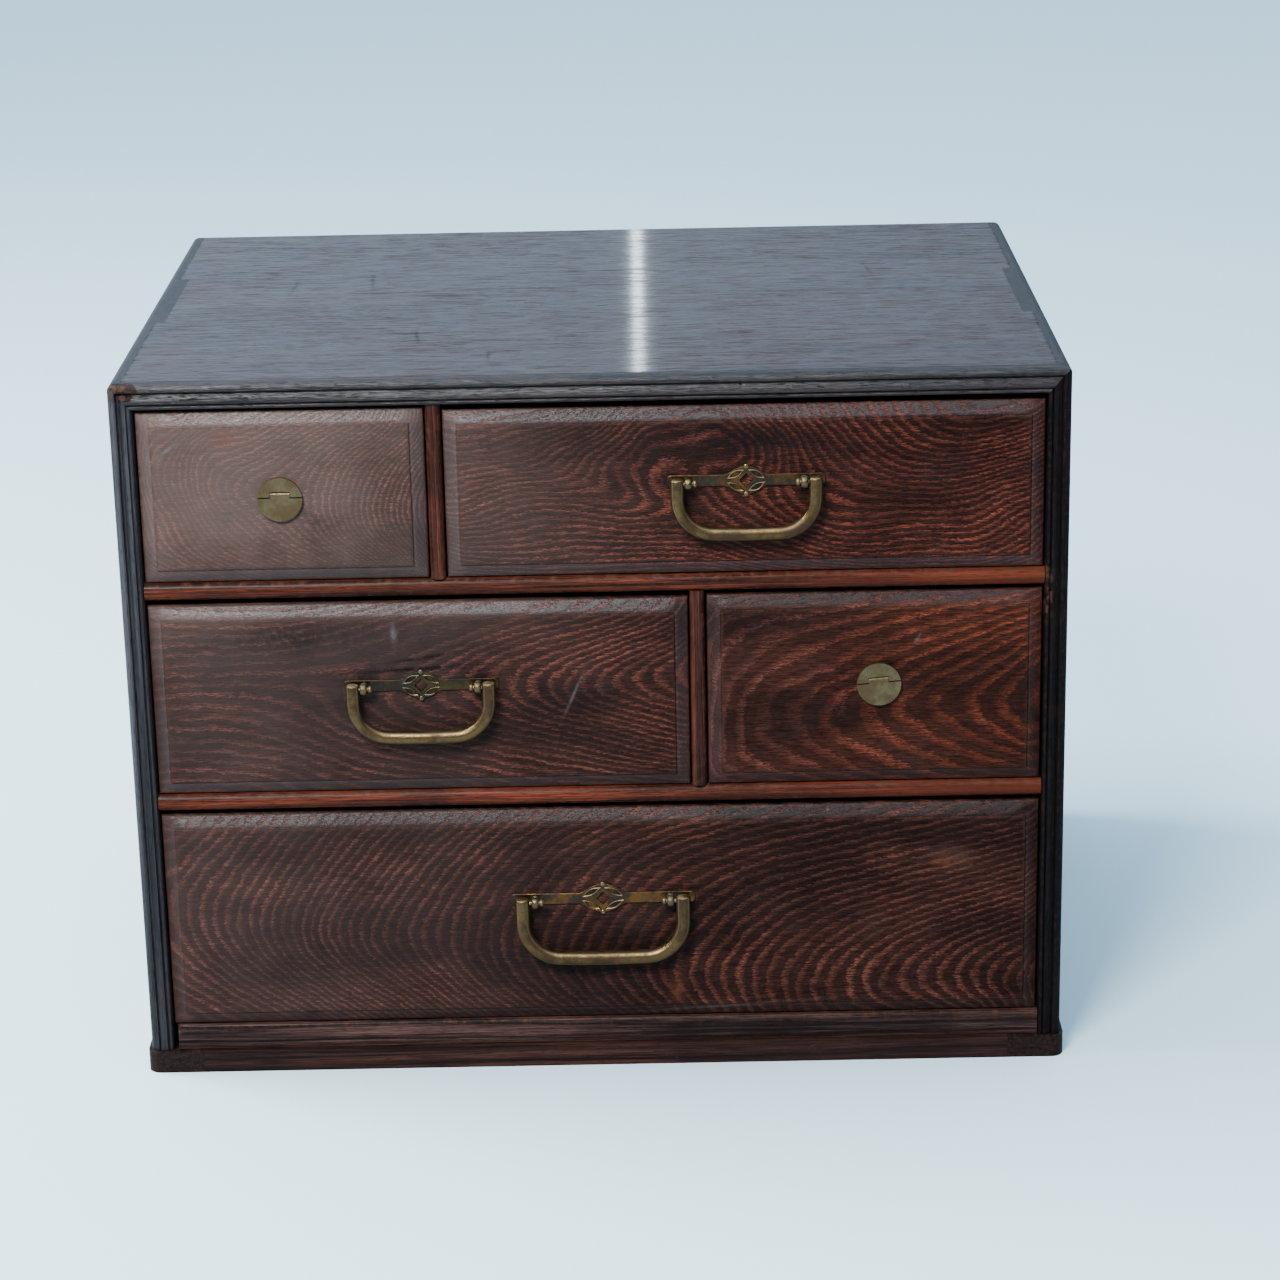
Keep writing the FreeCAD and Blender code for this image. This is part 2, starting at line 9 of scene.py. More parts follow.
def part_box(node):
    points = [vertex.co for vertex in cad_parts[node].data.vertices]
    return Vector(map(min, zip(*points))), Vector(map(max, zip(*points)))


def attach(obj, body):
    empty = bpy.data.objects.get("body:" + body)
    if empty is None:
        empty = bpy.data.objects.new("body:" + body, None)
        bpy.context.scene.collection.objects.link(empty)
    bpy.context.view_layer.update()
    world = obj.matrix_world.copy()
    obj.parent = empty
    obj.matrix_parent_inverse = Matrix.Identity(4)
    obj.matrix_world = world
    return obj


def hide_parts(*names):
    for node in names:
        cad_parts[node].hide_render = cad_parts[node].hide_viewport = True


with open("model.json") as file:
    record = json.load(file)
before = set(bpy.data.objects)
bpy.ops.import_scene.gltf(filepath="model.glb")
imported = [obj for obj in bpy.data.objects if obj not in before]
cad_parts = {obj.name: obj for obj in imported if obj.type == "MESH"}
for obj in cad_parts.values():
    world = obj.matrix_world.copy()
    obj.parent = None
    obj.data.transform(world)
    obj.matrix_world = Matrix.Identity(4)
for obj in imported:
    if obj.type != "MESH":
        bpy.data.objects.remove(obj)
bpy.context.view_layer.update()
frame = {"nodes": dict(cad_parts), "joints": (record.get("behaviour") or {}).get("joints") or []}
nodes = frame["nodes"]
MM = 0.001


# ---------------------------------------------------------------------------------------
# Top board. One wide board of straight-grained wood, stained dark brown and rubbed to a
# satin sheen, scratched and dented by use. It is let in between the two side boards.

def box_mm(name):
    """The two corners of a CAD piece's box, in millimetres."""
    return [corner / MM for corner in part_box(name)]


class Graph:
    """Adds shader nodes to one material or node group and joins them up."""

    def __init__(self, tree):
        self.tree = tree

    def add(self, kind, **settings):
        node = self.tree.nodes.new(kind)
        for key, value in settings.items():
            setattr(node, key, value)
        return node

    def feed(self, socket, value):
        if isinstance(value, bpy.types.NodeSocket):
            self.tree.links.new(value, socket)
        elif value is not None:
            if socket.type == "RGBA" and len(value) == 3:
                value = (*value, 1.0)
            socket.default_value = value

    def math(self, operation, a, b=None, clamp=False):
        node = self.add("ShaderNodeMath", operation=operation, use_clamp=clamp)
        self.feed(node.inputs[0], a)
        self.feed(node.inputs[1], b)
        return node.outputs[0]

    def times(self, a, b, clamp=False):
        return self.math("MULTIPLY", a, b, clamp)

    def plus(self, a, b, clamp=False):
        return self.math("ADD", a, b, clamp)

    def minus(self, a, b, clamp=False):
        return self.math("SUBTRACT", a, b, clamp)

    def vector(self, operation, a, b=None):
        node = self.add("ShaderNodeVectorMath", operation=operation)
        self.feed(node.inputs[0], a)
        self.feed(node.inputs[1], b)
        return node.outputs[0]

    def stretch(self, vector, by):
        return self.vector("MULTIPLY", vector, by)

    def split(self, vector):
        node = self.add("ShaderNodeSeparateXYZ")
        self.feed(node.inputs[0], vector)
        return node.outputs

    def join(self, x, y, z):
        node = self.add("ShaderNodeCombineXYZ")
        for socket, value in zip(node.inputs, (x, y, z)):
            self.feed(socket, value)
        return node.outputs[0]

    def noise(self, vector, scale, detail=2.0, roughness=0.5, distortion=0.0):
        node = self.add("ShaderNodeTexNoise")
        self.feed(node.inputs["Vector"], vector)
        node.inputs["Scale"].default_value = scale
        node.inputs["Detail"].default_value = detail
        node.inputs["Roughness"].default_value = roughness
        node.inputs["Distortion"].default_value = distortion
        return node.outputs["Fac"]

    def step(self, value, low, high, to_low=0.0, to_high=1.0):
        node = self.add("ShaderNodeMapRange", interpolation_type="SMOOTHSTEP")
        for socket, item in zip(node.inputs, (value, low, high, to_low, to_high)):
            self.feed(socket, item)
        return node.outputs[0]

    def mix(self, amount, a, b, blend="MIX"):
        node = self.add("ShaderNodeMix", data_type="RGBA", blend_type=blend)
        self.feed(node.inputs[0], amount)
        self.feed(node.inputs[6], a)
        self.feed(node.inputs[7], b)
        return node.outputs[2]

    def group(self, tree, **inputs):
        node = self.add("ShaderNodeGroup", node_tree=tree)
        for key, value in inputs.items():
            self.feed(node.inputs[key.replace("_", " ")], value)
        return node.outputs

    def millimetres(self):
        """Position on the chest, in millimetres, the same in every pose."""
        spot = self.add("ShaderNodeTexCoord").outputs["Object"]
        node = self.add("ShaderNodeVectorMath", operation="SCALE")
        self.feed(node.inputs[0], spot)
        node.inputs[3].default_value = 1000.0
        return node.outputs[0]

    def along(self, turn):
        """Position in millimetres with the axis that the grain follows put first."""
        x, y, z = self.split(self.millimetres())
        return self.join(*{"x": (x, y, z), "y": (y, z, x), "z": (z, x, y)}[turn])

    def painted(self, layer):
        """A value painted on the points of the mesh, such as its wear."""
        return self.add("ShaderNodeAttribute", attribute_name=layer).outputs["Fac"]

    def shade(self, colour, factor):
        """Make a colour darker or lighter by a varying factor."""
        return self.mix(1.0, colour, self.join(factor, factor, factor), "MULTIPLY")

    def bump(self, height, strength, distance=0.0003):
        node = self.add("ShaderNodeBump")
        node.inputs["Strength"].default_value = strength
        node.inputs["Distance"].default_value = distance
        self.feed(node.inputs["Height"], height)
        return node.outputs[0]


def new_group(name, inputs, outputs):
    """An empty node group with named sockets; returns its tree, graph, inputs and output."""
    tree = bpy.data.node_groups.new(name, "ShaderNodeTree")
    for label, kind in inputs:
        tree.interface.new_socket(label, in_out="INPUT", socket_type="NodeSocket" + kind)
    for label, kind in outputs:
        tree.interface.new_socket(label, in_out="OUTPUT", socket_type="NodeSocket" + kind)
    graph = Graph(tree)
    return tree, graph, graph.add("NodeGroupInput").outputs, graph.add("NodeGroupOutput").inputs


def new_material(name, preview, **constants):
    """A material with one Principled shader whose plain numbers sit on its own sockets."""
    material = bpy.data.materials.new(name)
    material.use_nodes = True
    material.diffuse_color = (*preview, 1.0)
    shader = material.node_tree.nodes["Principled BSDF"]
    for key, value in constants.items():
        shader.inputs[key.replace("_", " ")].default_value = value
    return material, Graph(material.node_tree), shader.inputs


# Straight grain: long fibres along X, growth bands across Y and Z, and short dark pores.
straight_grain, g, given, out = new_group(
    "straight_grain",
    [("Along X", "Vector"), ("Band Width", "Float"), ("Waver", "Float")],
    [("Bands", "Float"), ("Fibres", "Float"), ("Pores", "Float")],
)
stretched = g.stretch(given["Along X"], (0.012, 1.0, 1.0))
drift = g.noise(g.stretch(given["Along X"], (0.006, 0.03, 0.03)), 1.0, 2.0)
drift = g.times(g.minus(drift, 0.5), given["Waver"])
shifted = g.vector("ADD", stretched, g.join(0.0, drift, drift))
per_band = g.math("DIVIDE", 1.0, given["Band Width"])
scaled = g.add("ShaderNodeVectorMath", operation="SCALE")
g.feed(scaled.inputs[0], shifted)
g.feed(scaled.inputs[3], per_band)
bands = g.noise(scaled.outputs[0], 1.0, 3.0, 0.6)
g.feed(out["Bands"], g.step(bands, 0.36, 0.64))
fibres = g.noise(g.stretch(given["Along X"], (0.05, 2.6, 2.6)), 1.0, 3.0, 0.65)
g.feed(out["Fibres"], fibres)
pores = g.noise(g.stretch(given["Along X"], (0.22, 3.4, 3.4)), 1.0, 1.0)
g.feed(out["Pores"], g.step(pores, 0.58, 0.70))

# Wear from handling: faint long scratches at two slants, pale rubbed specks and small dents.
handling, g, given, out = new_group(
    "handling_marks",
    [("Position", "Vector"), ("Amount", "Float")],
    [("Scratches", "Float"), ("Rubbed", "Float"), ("Dents", "Float")],
)
lines = []
for turn, thin in ((0.35, 0.505), (-0.9, 0.503)):
    rotate = g.add("ShaderNodeVectorRotate", rotation_type="EULER_XYZ")
    g.feed(rotate.inputs["Vector"], given["Position"])
    rotate.inputs["Rotation"].default_value = (turn, turn, turn)
    streak = g.noise(g.stretch(rotate.outputs[0], (0.012, 0.5, 0.5)), 1.0, 0.0)
    near = g.math("ABSOLUTE", g.minus(streak, thin))
    broken = g.noise(rotate.outputs[0], 0.03, 2.0)
    lines.append(g.times(g.step(near, 0.006, 0.0), g.step(broken, 0.55, 0.66)))
scratch = g.math("MAXIMUM", *lines)
g.feed(out["Scratches"], g.times(scratch, given["Amount"]))
patch = g.noise(given["Position"], 0.05, 4.0, 0.65)
g.feed(out["Rubbed"], g.times(g.step(patch, 0.52, 0.72), given["Amount"]))
pits = g.add("ShaderNodeTexVoronoi", feature="F1")
g.feed(pits.inputs["Vector"], given["Position"])
pits.inputs["Scale"].default_value = 0.07
sparse = g.step(g.noise(given["Position"], 0.021, 0.0), 0.5, 0.6)
hollow = g.times(g.step(pits.outputs["Distance"], 0.09, 0.0), sparse)
g.feed(out["Dents"], g.times(hollow, given["Amount"]))

# A soft oval hump: it bends the growth lines round itself, or marks the place of a stain.
swelling, g, given, out = new_group(
    "swelling",
    [("Position", "Vector"), ("Centre", "Vector"), ("Turn", "Float"), ("Reach", "Vector"),
     ("Height", "Float")],
    [("Rings", "Float")],
)
away = g.vector("SUBTRACT", given["Position"], given["Centre"])
turn = g.add("ShaderNodeVectorRotate", rotation_type="Z_AXIS")
g.feed(turn.inputs["Vector"], away)
g.feed(turn.inputs["Angle"], given["Turn"])
oval = g.vector("DIVIDE", turn.outputs[0], given["Reach"])
squared = g.add("ShaderNodeVectorMath", operation="DOT_PRODUCT")
g.feed(squared.inputs[0], oval)
g.feed(squared.inputs[1], oval)
fall = g.math("EXPONENT", g.times(squared.outputs["Value"], -1.0))
g.feed(out["Rings"], g.times(fall, given["Height"]))

# The darkest tone serves for real soot marks and dark joints, and also for painted shade.
PALE, RUST, SOOT_AND_SHADE = (0.16, 0.13, 0.12), (0.17, 0.055, 0.025), (0.008, 0.005, 0.005)


def marks_and_shade(g, colour, spot, flat, places):
    """Paint single marks, real old marks and painted shade alike: (across, up, reach along, reach
    across, turn, strength, tone).
    """
    marked = 0.0
    for across, up, along, wide, turn, amount, tone in places:
        spread = g.group(swelling, Position=flat, Centre=(across, up, 0),
                         Turn=-math.radians(turn), Reach=(along, wide, 1), Height=amount)
        patchy = g.step(g.noise(spot, 0.5, 4.0, 0.7), 0.3, 0.6, 0.2, 1.0)
        patchy = g.times(spread["Rings"], patchy, clamp=True)
        colour = g.mix(patchy, colour, tone)
        marked = g.plus(patchy, marked, clamp=True)
    return colour, marked


TOP_MARKS = [
    (-38, 22, 26, 2.2, 3, 0.8, SOOT_AND_SHADE), (-62, 12, 14, 1.6, -4, 0.8, SOOT_AND_SHADE),
    (-95, 40, 1.0, 14, 4, 0.8, SOOT_AND_SHADE), (-92, 18, 12, 1.5, 2, 0.8, SOOT_AND_SHADE),
    (-128, 32, 1.0, 16, -3, 0.7, SOOT_AND_SHADE), (-70, -62, 1.2, 11, 6, 0.9, SOOT_AND_SHADE),
    (-76, -58, 9, 1.6, 0, 0.8, SOOT_AND_SHADE), (8, 55, 18, 2.0, 2, 0.6, SOOT_AND_SHADE),
    (76, -20, 14, 1.4, -5, 0.6, SOOT_AND_SHADE), (118, 48, 1.0, 12, 5, 0.6, SOOT_AND_SHADE),
    (-150, 88, 5, 2.5, 0, 0.7, SOOT_AND_SHADE), (-40, -100, 0.9, 9, 0, 0.7, SOOT_AND_SHADE),
]
top_finish, g, shader = new_material(
    "top_board_stain", (0.09, 0.07, 0.07), Specular_IOR_Level=0.08, Coat_Roughness=0.07)
spot = g.millimetres()
grain = g.group(straight_grain, Along_X=spot, Band_Width=4.0, Waver=2.5)
marks = g.group(handling, Position=spot, Amount=1.0)
open_grain = g.noise(g.stretch(spot, (0.038, 0.50, 0.50)), 1.0, 5.0, 0.78)
open_grain = g.step(open_grain, 0.46, 0.60)
blotch = g.noise(g.stretch(spot, (0.010, 0.022, 0.022)), 1.0, 4.0, 0.65)
blotch = g.step(blotch, 0.44, 0.58)
colour = g.mix(grain["Bands"], (0.012, 0.0065, 0.006), (0.036, 0.017, 0.0135))
colour = g.mix(open_grain, colour, (0.040, 0.017, 0.013))
colour = g.mix(g.times(grain["Pores"], 0.75), colour, (0.004, 0.0025, 0.0025))
colour = g.mix(g.times(marks["Rubbed"], 0.35), colour, (0.05, 0.038, 0.036))
x, y, z = g.split(spot)
SEAMS = [(corner[0], 0, 0.9, 400, 0, 0.9, SOOT_AND_SHADE) for corner in box_mm("top_board")]
colour, marked = marks_and_shade(g, colour, spot, g.join(x, y, 0.0), TOP_MARKS + SEAMS)
g.feed(shader["Base Color"], colour)
g.feed(shader["Roughness"], g.step(grain["Fibres"], 0.3, 0.7, 0.4, 0.6))
dull = g.times(open_grain, 0.50)
short = g.noise(g.stretch(spot, (0.09, 0.8, 0.8)), 1.0, 3.0, 0.8)
dull = g.plus(dull, g.times(g.step(short, 0.47, 0.60), 0.58))
dull = g.plus(dull, g.times(blotch, 0.16))
dull = g.plus(dull, g.times(grain["Pores"], 0.15))
dull = g.plus(dull, g.times(marks["Scratches"], 0.7))
dull = g.plus(dull, g.times(marked, 0.6))
g.feed(shader["Coat Weight"], g.minus(1.22, dull, clamp=True))
relief = g.minus(grain["Fibres"], g.times(grain["Pores"], 1.2))
relief = g.minus(relief, g.times(marks["Dents"], 2.5))
relief = g.minus(relief, marks["Scratches"])
g.feed(shader["Normal"], g.bump(relief, 0.5))


def soften_edges(name, width, segments=2):
    """Break the sharp arrises of a board so that its joints show as fine lines."""
    edge = nodes[name].modifiers.new("broken_arris", "BEVEL")
    edge.width = width * MM
    edge.segments = segments
    edge.limit_method = "ANGLE"
    edge.angle_limit = math.radians(35)
    edge.harden_normals = True


def finish_node(name, material, width=0.3, segments=2):
    piece = nodes[name]
    piece.data.materials.clear()
    piece.data.materials.append(material)
    soften_edges(name, width, segments)


finish_node("top_board", top_finish, 0.7, 3)


# ---------------------------------------------------------------------------------------
# Side boards. Dark stained boards with upright grain. Their outer strip, and one long
# finger of each, comes up flush with the top board; the outer top edge is rounded over.

def dark_wood(name, turn, light=(0.022, 0.016, 0.016), gloss=1.0):
    """Nearly black stained wood. turn gives which axis the grain follows."""
    material, g, shader = new_material(
        name, light, Specular_IOR_Level=0.08, Coat_Roughness=0.36)
    spot = g.along(turn)
    grain = g.group(straight_grain, Along_X=spot, Band_Width=2.6, Waver=1.5)
    marks = g.group(handling, Position=spot, Amount=1.0)
    colour = g.mix(grain["Bands"], (0.005, 0.0042, 0.0045), light)
    colour = g.mix(g.times(grain["Pores"], 0.7), colour, (0.006, 0.004, 0.004))
    colour = g.mix(g.times(marks["Rubbed"], 0.4), colour, (0.028, 0.014, 0.011))
    handled = g.painted("wear")
    ragged = g.noise(spot, 0.35, 3.0, 0.7)
    worn = g.times(handled, g.step(ragged, 0.46, 0.66), clamp=True)
    colour = g.mix(worn, colour, (0.075, 0.034, 0.022))
    g.feed(shader["Base Color"], colour)
    g.feed(shader["Roughness"], g.plus(g.times(grain["Fibres"], 0.3), 0.35))
    dull = g.plus(g.step(grain["Fibres"], 0.42, 0.62), grain["Pores"])
    dull = g.plus(g.times(dull, 0.30), g.times(handled, 1.2))
    g.feed(shader["Coat Weight"], g.minus(gloss, dull, clamp=True))
    relief = g.minus(grain["Fibres"], grain["Pores"])
    relief = g.minus(relief, g.times(marks["Dents"], 2.0))
    relief = g.bump(relief, 0.6)
    g.feed(shader["Normal"], relief)
    g.feed(shader["Coat Normal"], relief)
    return material


upright_dark = dark_wood("dark_upright_stain", "z", gloss=0.75)
for name in ("left_side_board", "right_side_board"):
    finish_node(name, upright_dark, 0.7, 3)


# ---------------------------------------------------------------------------------------
# Back, floor, shelves and partitions. Plain boards of pale light wood left bare inside the
# case, yellowed with age. Only the back of the chest and the open drawer spaces show them.

def bare_wood(name, turn):
    """Pale unstained wood, its grain along the axis turn."""
    material, g, shader = new_material(name, (0.42, 0.31, 0.2))
    spot = g.along(turn)
    grain = g.group(straight_grain, Along_X=spot, Band_Width=4.5, Waver=3.0)
    marks = g.group(handling, Position=spot, Amount=0.7)
    colour = g.mix(grain["Bands"], (0.27, 0.175, 0.10), (0.38, 0.27, 0.16))
    colour = g.mix(g.times(grain["Pores"], 0.45), colour, (0.16, 0.095, 0.055))
    colour = g.mix(g.times(marks["Rubbed"], 0.35), colour, (0.17, 0.115, 0.075))
    g.feed(shader["Base Color"], colour)
    g.feed(shader["Roughness"], g.step(grain["Fibres"], 0.2, 0.8, 0.55, 0.8))
    g.feed(shader["Normal"], g.bump(g.minus(grain["Fibres"], grain["Pores"]), 0.35))
    return material


bare_across = bare_wood("bare_wood_across", "x")
bare_deep = bare_wood("bare_wood_front_to_back", "y")
for name in ("back_board", "floor_board", "lower_shelf", "upper_shelf"):
    finish_node(name, bare_across, 0.3)
for name in ("lower_partition", "upper_partition"):
    finish_node(name, bare_deep, 0.3)


# ---------------------------------------------------------------------------------------
# Base frame. Three flat rails under the case, standing a little proud of it. The side
# rails run right through, so their end grain shows at the front corners.

def red_wood(name, turn, deep, bright, width=2.2, right_end=None):
    """Red-brown stained wood with fine growth bands, its grain along the axis turn."""
    material, g, shader = new_material(
        name, bright, Specular_IOR_Level=0.06, Coat_Weight=0.13, Coat_Roughness=0.32)
    spot = g.along(turn)
    grain = g.group(straight_grain, Along_X=spot, Band_Width=width, Waver=3.0)
    marks = g.group(handling, Position=spot, Amount=1.0)
    colour = g.mix(grain["Bands"], deep, bright)
    colour = g.mix(g.times(grain["Pores"], 0.7), colour, (0.010, 0.006, 0.005))
    patches = g.step(g.noise(spot, 0.018, 2.0), 0.42, 0.62)
    colour = g.mix(g.times(patches, 0.55), colour, deep)
    colour = g.shade(colour, g.step(grain["Fibres"], 0.32, 0.68, 0.4, 1.5))
    if right_end:
        across = g.split(spot)["X"]
        colour = g.mix(g.step(across, 30.0, 175.0, 0.0, 0.6), colour, right_end)
    worn = g.painted("wear")
    ragged = g.noise(spot, 0.3, 3.0, 0.7)
    worn = g.times(worn, g.step(ragged, 0.46, 0.68), clamp=True)
    colour = g.mix(worn, colour, (0.10, 0.036, 0.02))
    colour = g.mix(g.times(marks["Scratches"], 0.6), colour, (0.1, 0.06, 0.045))
    g.feed(shader["Base Color"], colour)
    g.feed(shader["Roughness"], g.plus(g.times(grain["Fibres"], 0.3), 0.27))
    relief = g.minus(grain["Fibres"], grain["Pores"])
    relief = g.minus(relief, g.times(marks["Dents"], 2.0))
    g.feed(shader["Normal"], g.bump(relief, 0.6))
    return material


base_long = red_wood("base_front_stain", "x", (0.014, 0.007, 0.006), (0.075, 0.030, 0.021))
base_end = red_wood("base_side_stain", "y", (0.012, 0.007, 0.006), (0.035, 0.016, 0.012), 1.6)
finish_node("base_front_rail", base_long, 0.9, 3)
finish_node("base_left_rail", base_end, 0.9, 3)
finish_node("base_right_rail", base_end, 0.9, 3)


# ---------------------------------------------------------------------------------------
# Mouldings round the front edge. Thin dark strips worked to a rounded nose, a broad band
# and an inner bead, mitred at the top corners and glued over the edges of the boards.

def new_piece(name, builder, material, body, stands_for, smooth=40):
    """Finish one piece: shade it, colour it, and put it on its body."""
    mesh = bpy.data.meshes.new(name)
    bmesh.ops.recalc_face_normals(builder, faces=builder.faces[:])
    builder.to_mesh(mesh)
    builder.free()
    piece = bpy.data.objects.new(name, mesh)
    bpy.context.scene.collection.objects.link(piece)
    mesh.materials.append(material)
    mesh.shade_smooth()
    mesh.set_sharp_from_angle(angle=math.radians(smooth))
    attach(piece, body)
    if stands_for:
        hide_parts(*stands_for)
    return piece


def wobble(point, size, amount):
    """A small hand-made unevenness, in millimetres, the same every time."""
    return noise.noise(Vector(point) / size) * amount


def bridge(builder, rows):
    """Join closed rows of points with faces, each row to the next one."""
    for first, second in zip(rows, rows[1:]):
        for i in range(len(first)):
            j = (i + 1) % len(first)
            builder.faces.new((first[i], first[j], second[j], second[i]))


def add_points(builder, layer, points, wear):
    """Add points (millimetres) to the mesh, each with its wear; returns them as a row."""
    row = []
    for point, worn in zip(points, wear):
        vert = builder.verts.new(Vector(point) * MM)
        vert[layer] = worn
        row.append(vert)
    return row


def skin(rings, wear):
    """Join rings of points (millimetres) into a closed bar; wear goes with each point."""
    builder = bmesh.new()
    layer = builder.verts.layers.float.new("wear")
    made = [add_points(builder, layer, *ring) for ring in zip(rings, wear)]
    bridge(builder, made)
    builder.faces.new(made[0])
    builder.faces.new(list(reversed(made[-1])))
    return builder


def arc(centre, radius, start, end, steps):
    """Points of a circular arc in a section, angles in degrees."""
    turns = [math.radians(start + (end - start) * i / steps) for i in range(steps + 1)]
    return [(centre[0] + radius * math.cos(t), centre[1] + radius * math.sin(t)) for t in turns]


# The outer rounding, where the groove beside it ends, the width of the inner bead, and how
# far the strip goes back, in millimetres.
OUTER_ROUND, GROOVE_END, BEAD, STRIP_DEPTH = 3.2, 3.9, 2.5, 5.0


def moulding_section(width):
    """(distance from the outer edge, depth from the front, wear) round the strip."""
    nose = arc((OUTER_ROUND, OUTER_ROUND), OUTER_ROUND, 180, 270, 8)
    points = [(a, d, 0.2) for a, d in nose]
    band = width - BEAD - GROOVE_END
    tilt = 0.34 * band
    points += [(3.3, 0.4, 0.0), (3.45, 1.3, 0.0), (3.7, 1.5, 0.0)]
    for i in range(7):
        t = i / 7
        rise = 1 - math.sin(math.pi / 2 * t) ** 1.2
        points.append((GROOVE_END + band * t, 0.05 + tilt * rise, 0.1))
    points += [(width - BEAD, 0.1, 0.15), (width - 2.3, 0.9, 0.0), (width - 2.05, 1.1, 0.0)]
    points += [(width - 1.1 - 0.8 * math.cos(t), 0.9 - 0.85 * math.sin(t), 0.25)
               for t in [math.pi * i / 6 for i in range(1, 6)]]
    points += [(width - 0.1, 2.2, 0.0), (width, STRIP_DEPTH, 0.0), (0.55, STRIP_DEPTH, 0.0),
               (0.0, STRIP_DEPTH - 0.5, 0.0)]
    return points


side_low, side_high = box_mm("right_moulding")
top_low, top_high = box_mm("top_moulding")
half_wide, front_face, foot = side_high[0], side_low[1], side_low[2]
side_width, top_width, high = side_high[0] - side_low[0], top_high[2] - top_low[2], top_high[2]


def round_corner(x, z):
    """Keep a point inside the rounded top corner of the case, seen from the front."""
    over_x = abs(x) - (half_wide - OUTER_ROUND)
    over_z = z - (high - OUTER_ROUND)
    if over_x > 0 and over_z > 0:
        far = math.hypot(over_x, over_z)
        if far > OUTER_ROUND:
            over_x, over_z = over_x * OUTER_ROUND / far, over_z * OUTER_ROUND / far
            x = math.copysign(half_wide - OUTER_ROUND + over_x, x)
            z = high - OUTER_ROUND + over_z
    return x, z


def moulded_strip(side):
    """One strip of moulding: side is -1 or 1 for an upright one, 0 for the top one."""
    section = moulding_section(top_width if side == 0 else side_width)
    rings, wear = [], []
    count = 84 if side == 0 else 66
    for i in range(count + 1):
        even = i / count  # the rings then crowd towards the ends, where the corner turns
        t = even - math.sin(2 * math.pi * even) / (2 * math.pi) * 0.75
        ring, worn = [], []
        for a, d, w in section:
            if side == 0:
                end = half_wide - a * side_width / top_width
                x, z = -end + 2 * end * t, high - a
            else:
                end = high - a * top_width / side_width
                x, z = side * (half_wide - a), foot + (end - foot) * t
            x, z = round_corner(x, z)
            y = front_face + d
            rough = wobble((x, y * 3, z), 9, 0.13) + wobble((x, y, z), 2.2, 0.07)
            if d < STRIP_DEPTH - 0.1:
                y += rough + 0.03
            ring.append((x, y, z))
            chipped = math.hypot(x + half_wide - 5, (z - high + 3) * 1.6) < 6 and d < 3
            rubbed = side == 1 and a > side_width - 2.6 and abs(z - 199) < 8
            worn.append(w + (2.2 if chipped or rubbed else 0))
        rings.append(ring)
        wear.append(worn)
    return skin(rings, wear)


level_dark = dark_wood("dark_level_stain", "x")
new_piece("top_moulding_strip", moulded_strip(0), level_dark, "case",
          ["top_moulding"])
# The left strip's grey-blue base colour is painted sheen, standing in for light falling on it
# from the left.
painted_sheen = dark_wood("dusty_upright_stain", "z", (0.055, 0.053, 0.058))
# The right strip's darker, less glossy copy of the stain is painted shade for the side away from
# the light.
dull = dark_wood("painted_shade_upright_stain", "z", (0.008, 0.006, 0.006), 0.3)
new_piece("left_moulding_strip", moulded_strip(-1), painted_sheen, "case",
          ["left_moulding"])
new_piece("right_moulding_strip", moulded_strip(1), dull, "case",
          ["right_moulding"])


# ---------------------------------------------------------------------------------------
# Rails and dividers between the drawers. Red-brown sticks with a half-round nose, planed
# by hand and worn paler along the nose, glued to the front edges of the shelves.

NOSE_DEPTH, RING_SPACING = 2.4, 4.5


def nosed_stick(node, upright):
    """A stick with a half-round nose, filling the box of the CAD piece."""
    low, top = box_mm(node)
    across = 0 if upright else 2
    along = 2 if upright else 0
    thick, depth = top[across] - low[across], top[1] - low[1]
    section = []
    for i in range(13):
        t = i / 12
        sag = 1 - (2 * t - 1) ** 2
        section.append((thick * t, NOSE_DEPTH * (1 - sag ** 0.62),
                        0.25 + 0.75 * (abs(2 * t - 1) > 0.6)))
    section += [(thick, depth, 0.0), (0.0, depth, 0.0)]
    length = top[along] - low[along]
    count = max(8, int(length / RING_SPACING))
    rings, wear = [], []
    for i in range(count + 1):
        run = low[along] + length * i / count
        ring, worn = [], []
        for a, d, w in section:
            uneven = wobble((run, a * 2, d), 8, 0.12) + wobble((run, a, d), 2, 0.06)
            y = low[1] + d + (uneven + 0.1 if d < 5 else 0)
            ring.append((low[0] + a, y, run) if upright else (run, y, low[2] + a))
            worn.append(w if d < 5 else 0)
        rings.append(ring)
        wear.append(worn)
    return skin(rings, wear)


level_red = red_wood("rail_stain", "x", (0.024, 0.008, 0.005), (0.180, 0.036, 0.015), 1.3,
                     (0.135, 0.026, 0.010))
upright_red = red_wood("divider_stain", "z", (0.022, 0.009, 0.006), (0.115, 0.031, 0.016), 1.6)
for name in ("upper_rail", "lower_rail"):
    new_piece(name + "_stick", nosed_stick(name, False), level_red, "case", [name])
for name in ("upper_divider", "lower_divider"):
    new_piece(name + "_stick", nosed_stick(name, True), upright_red, "case", [name])


# ---------------------------------------------------------------------------------------
# Sill under the bottom drawer. A squared strip with bold grain, its top edge rubbed by the
# drawer; the left end is chipped short and leaves a dark gap beside the moulding.

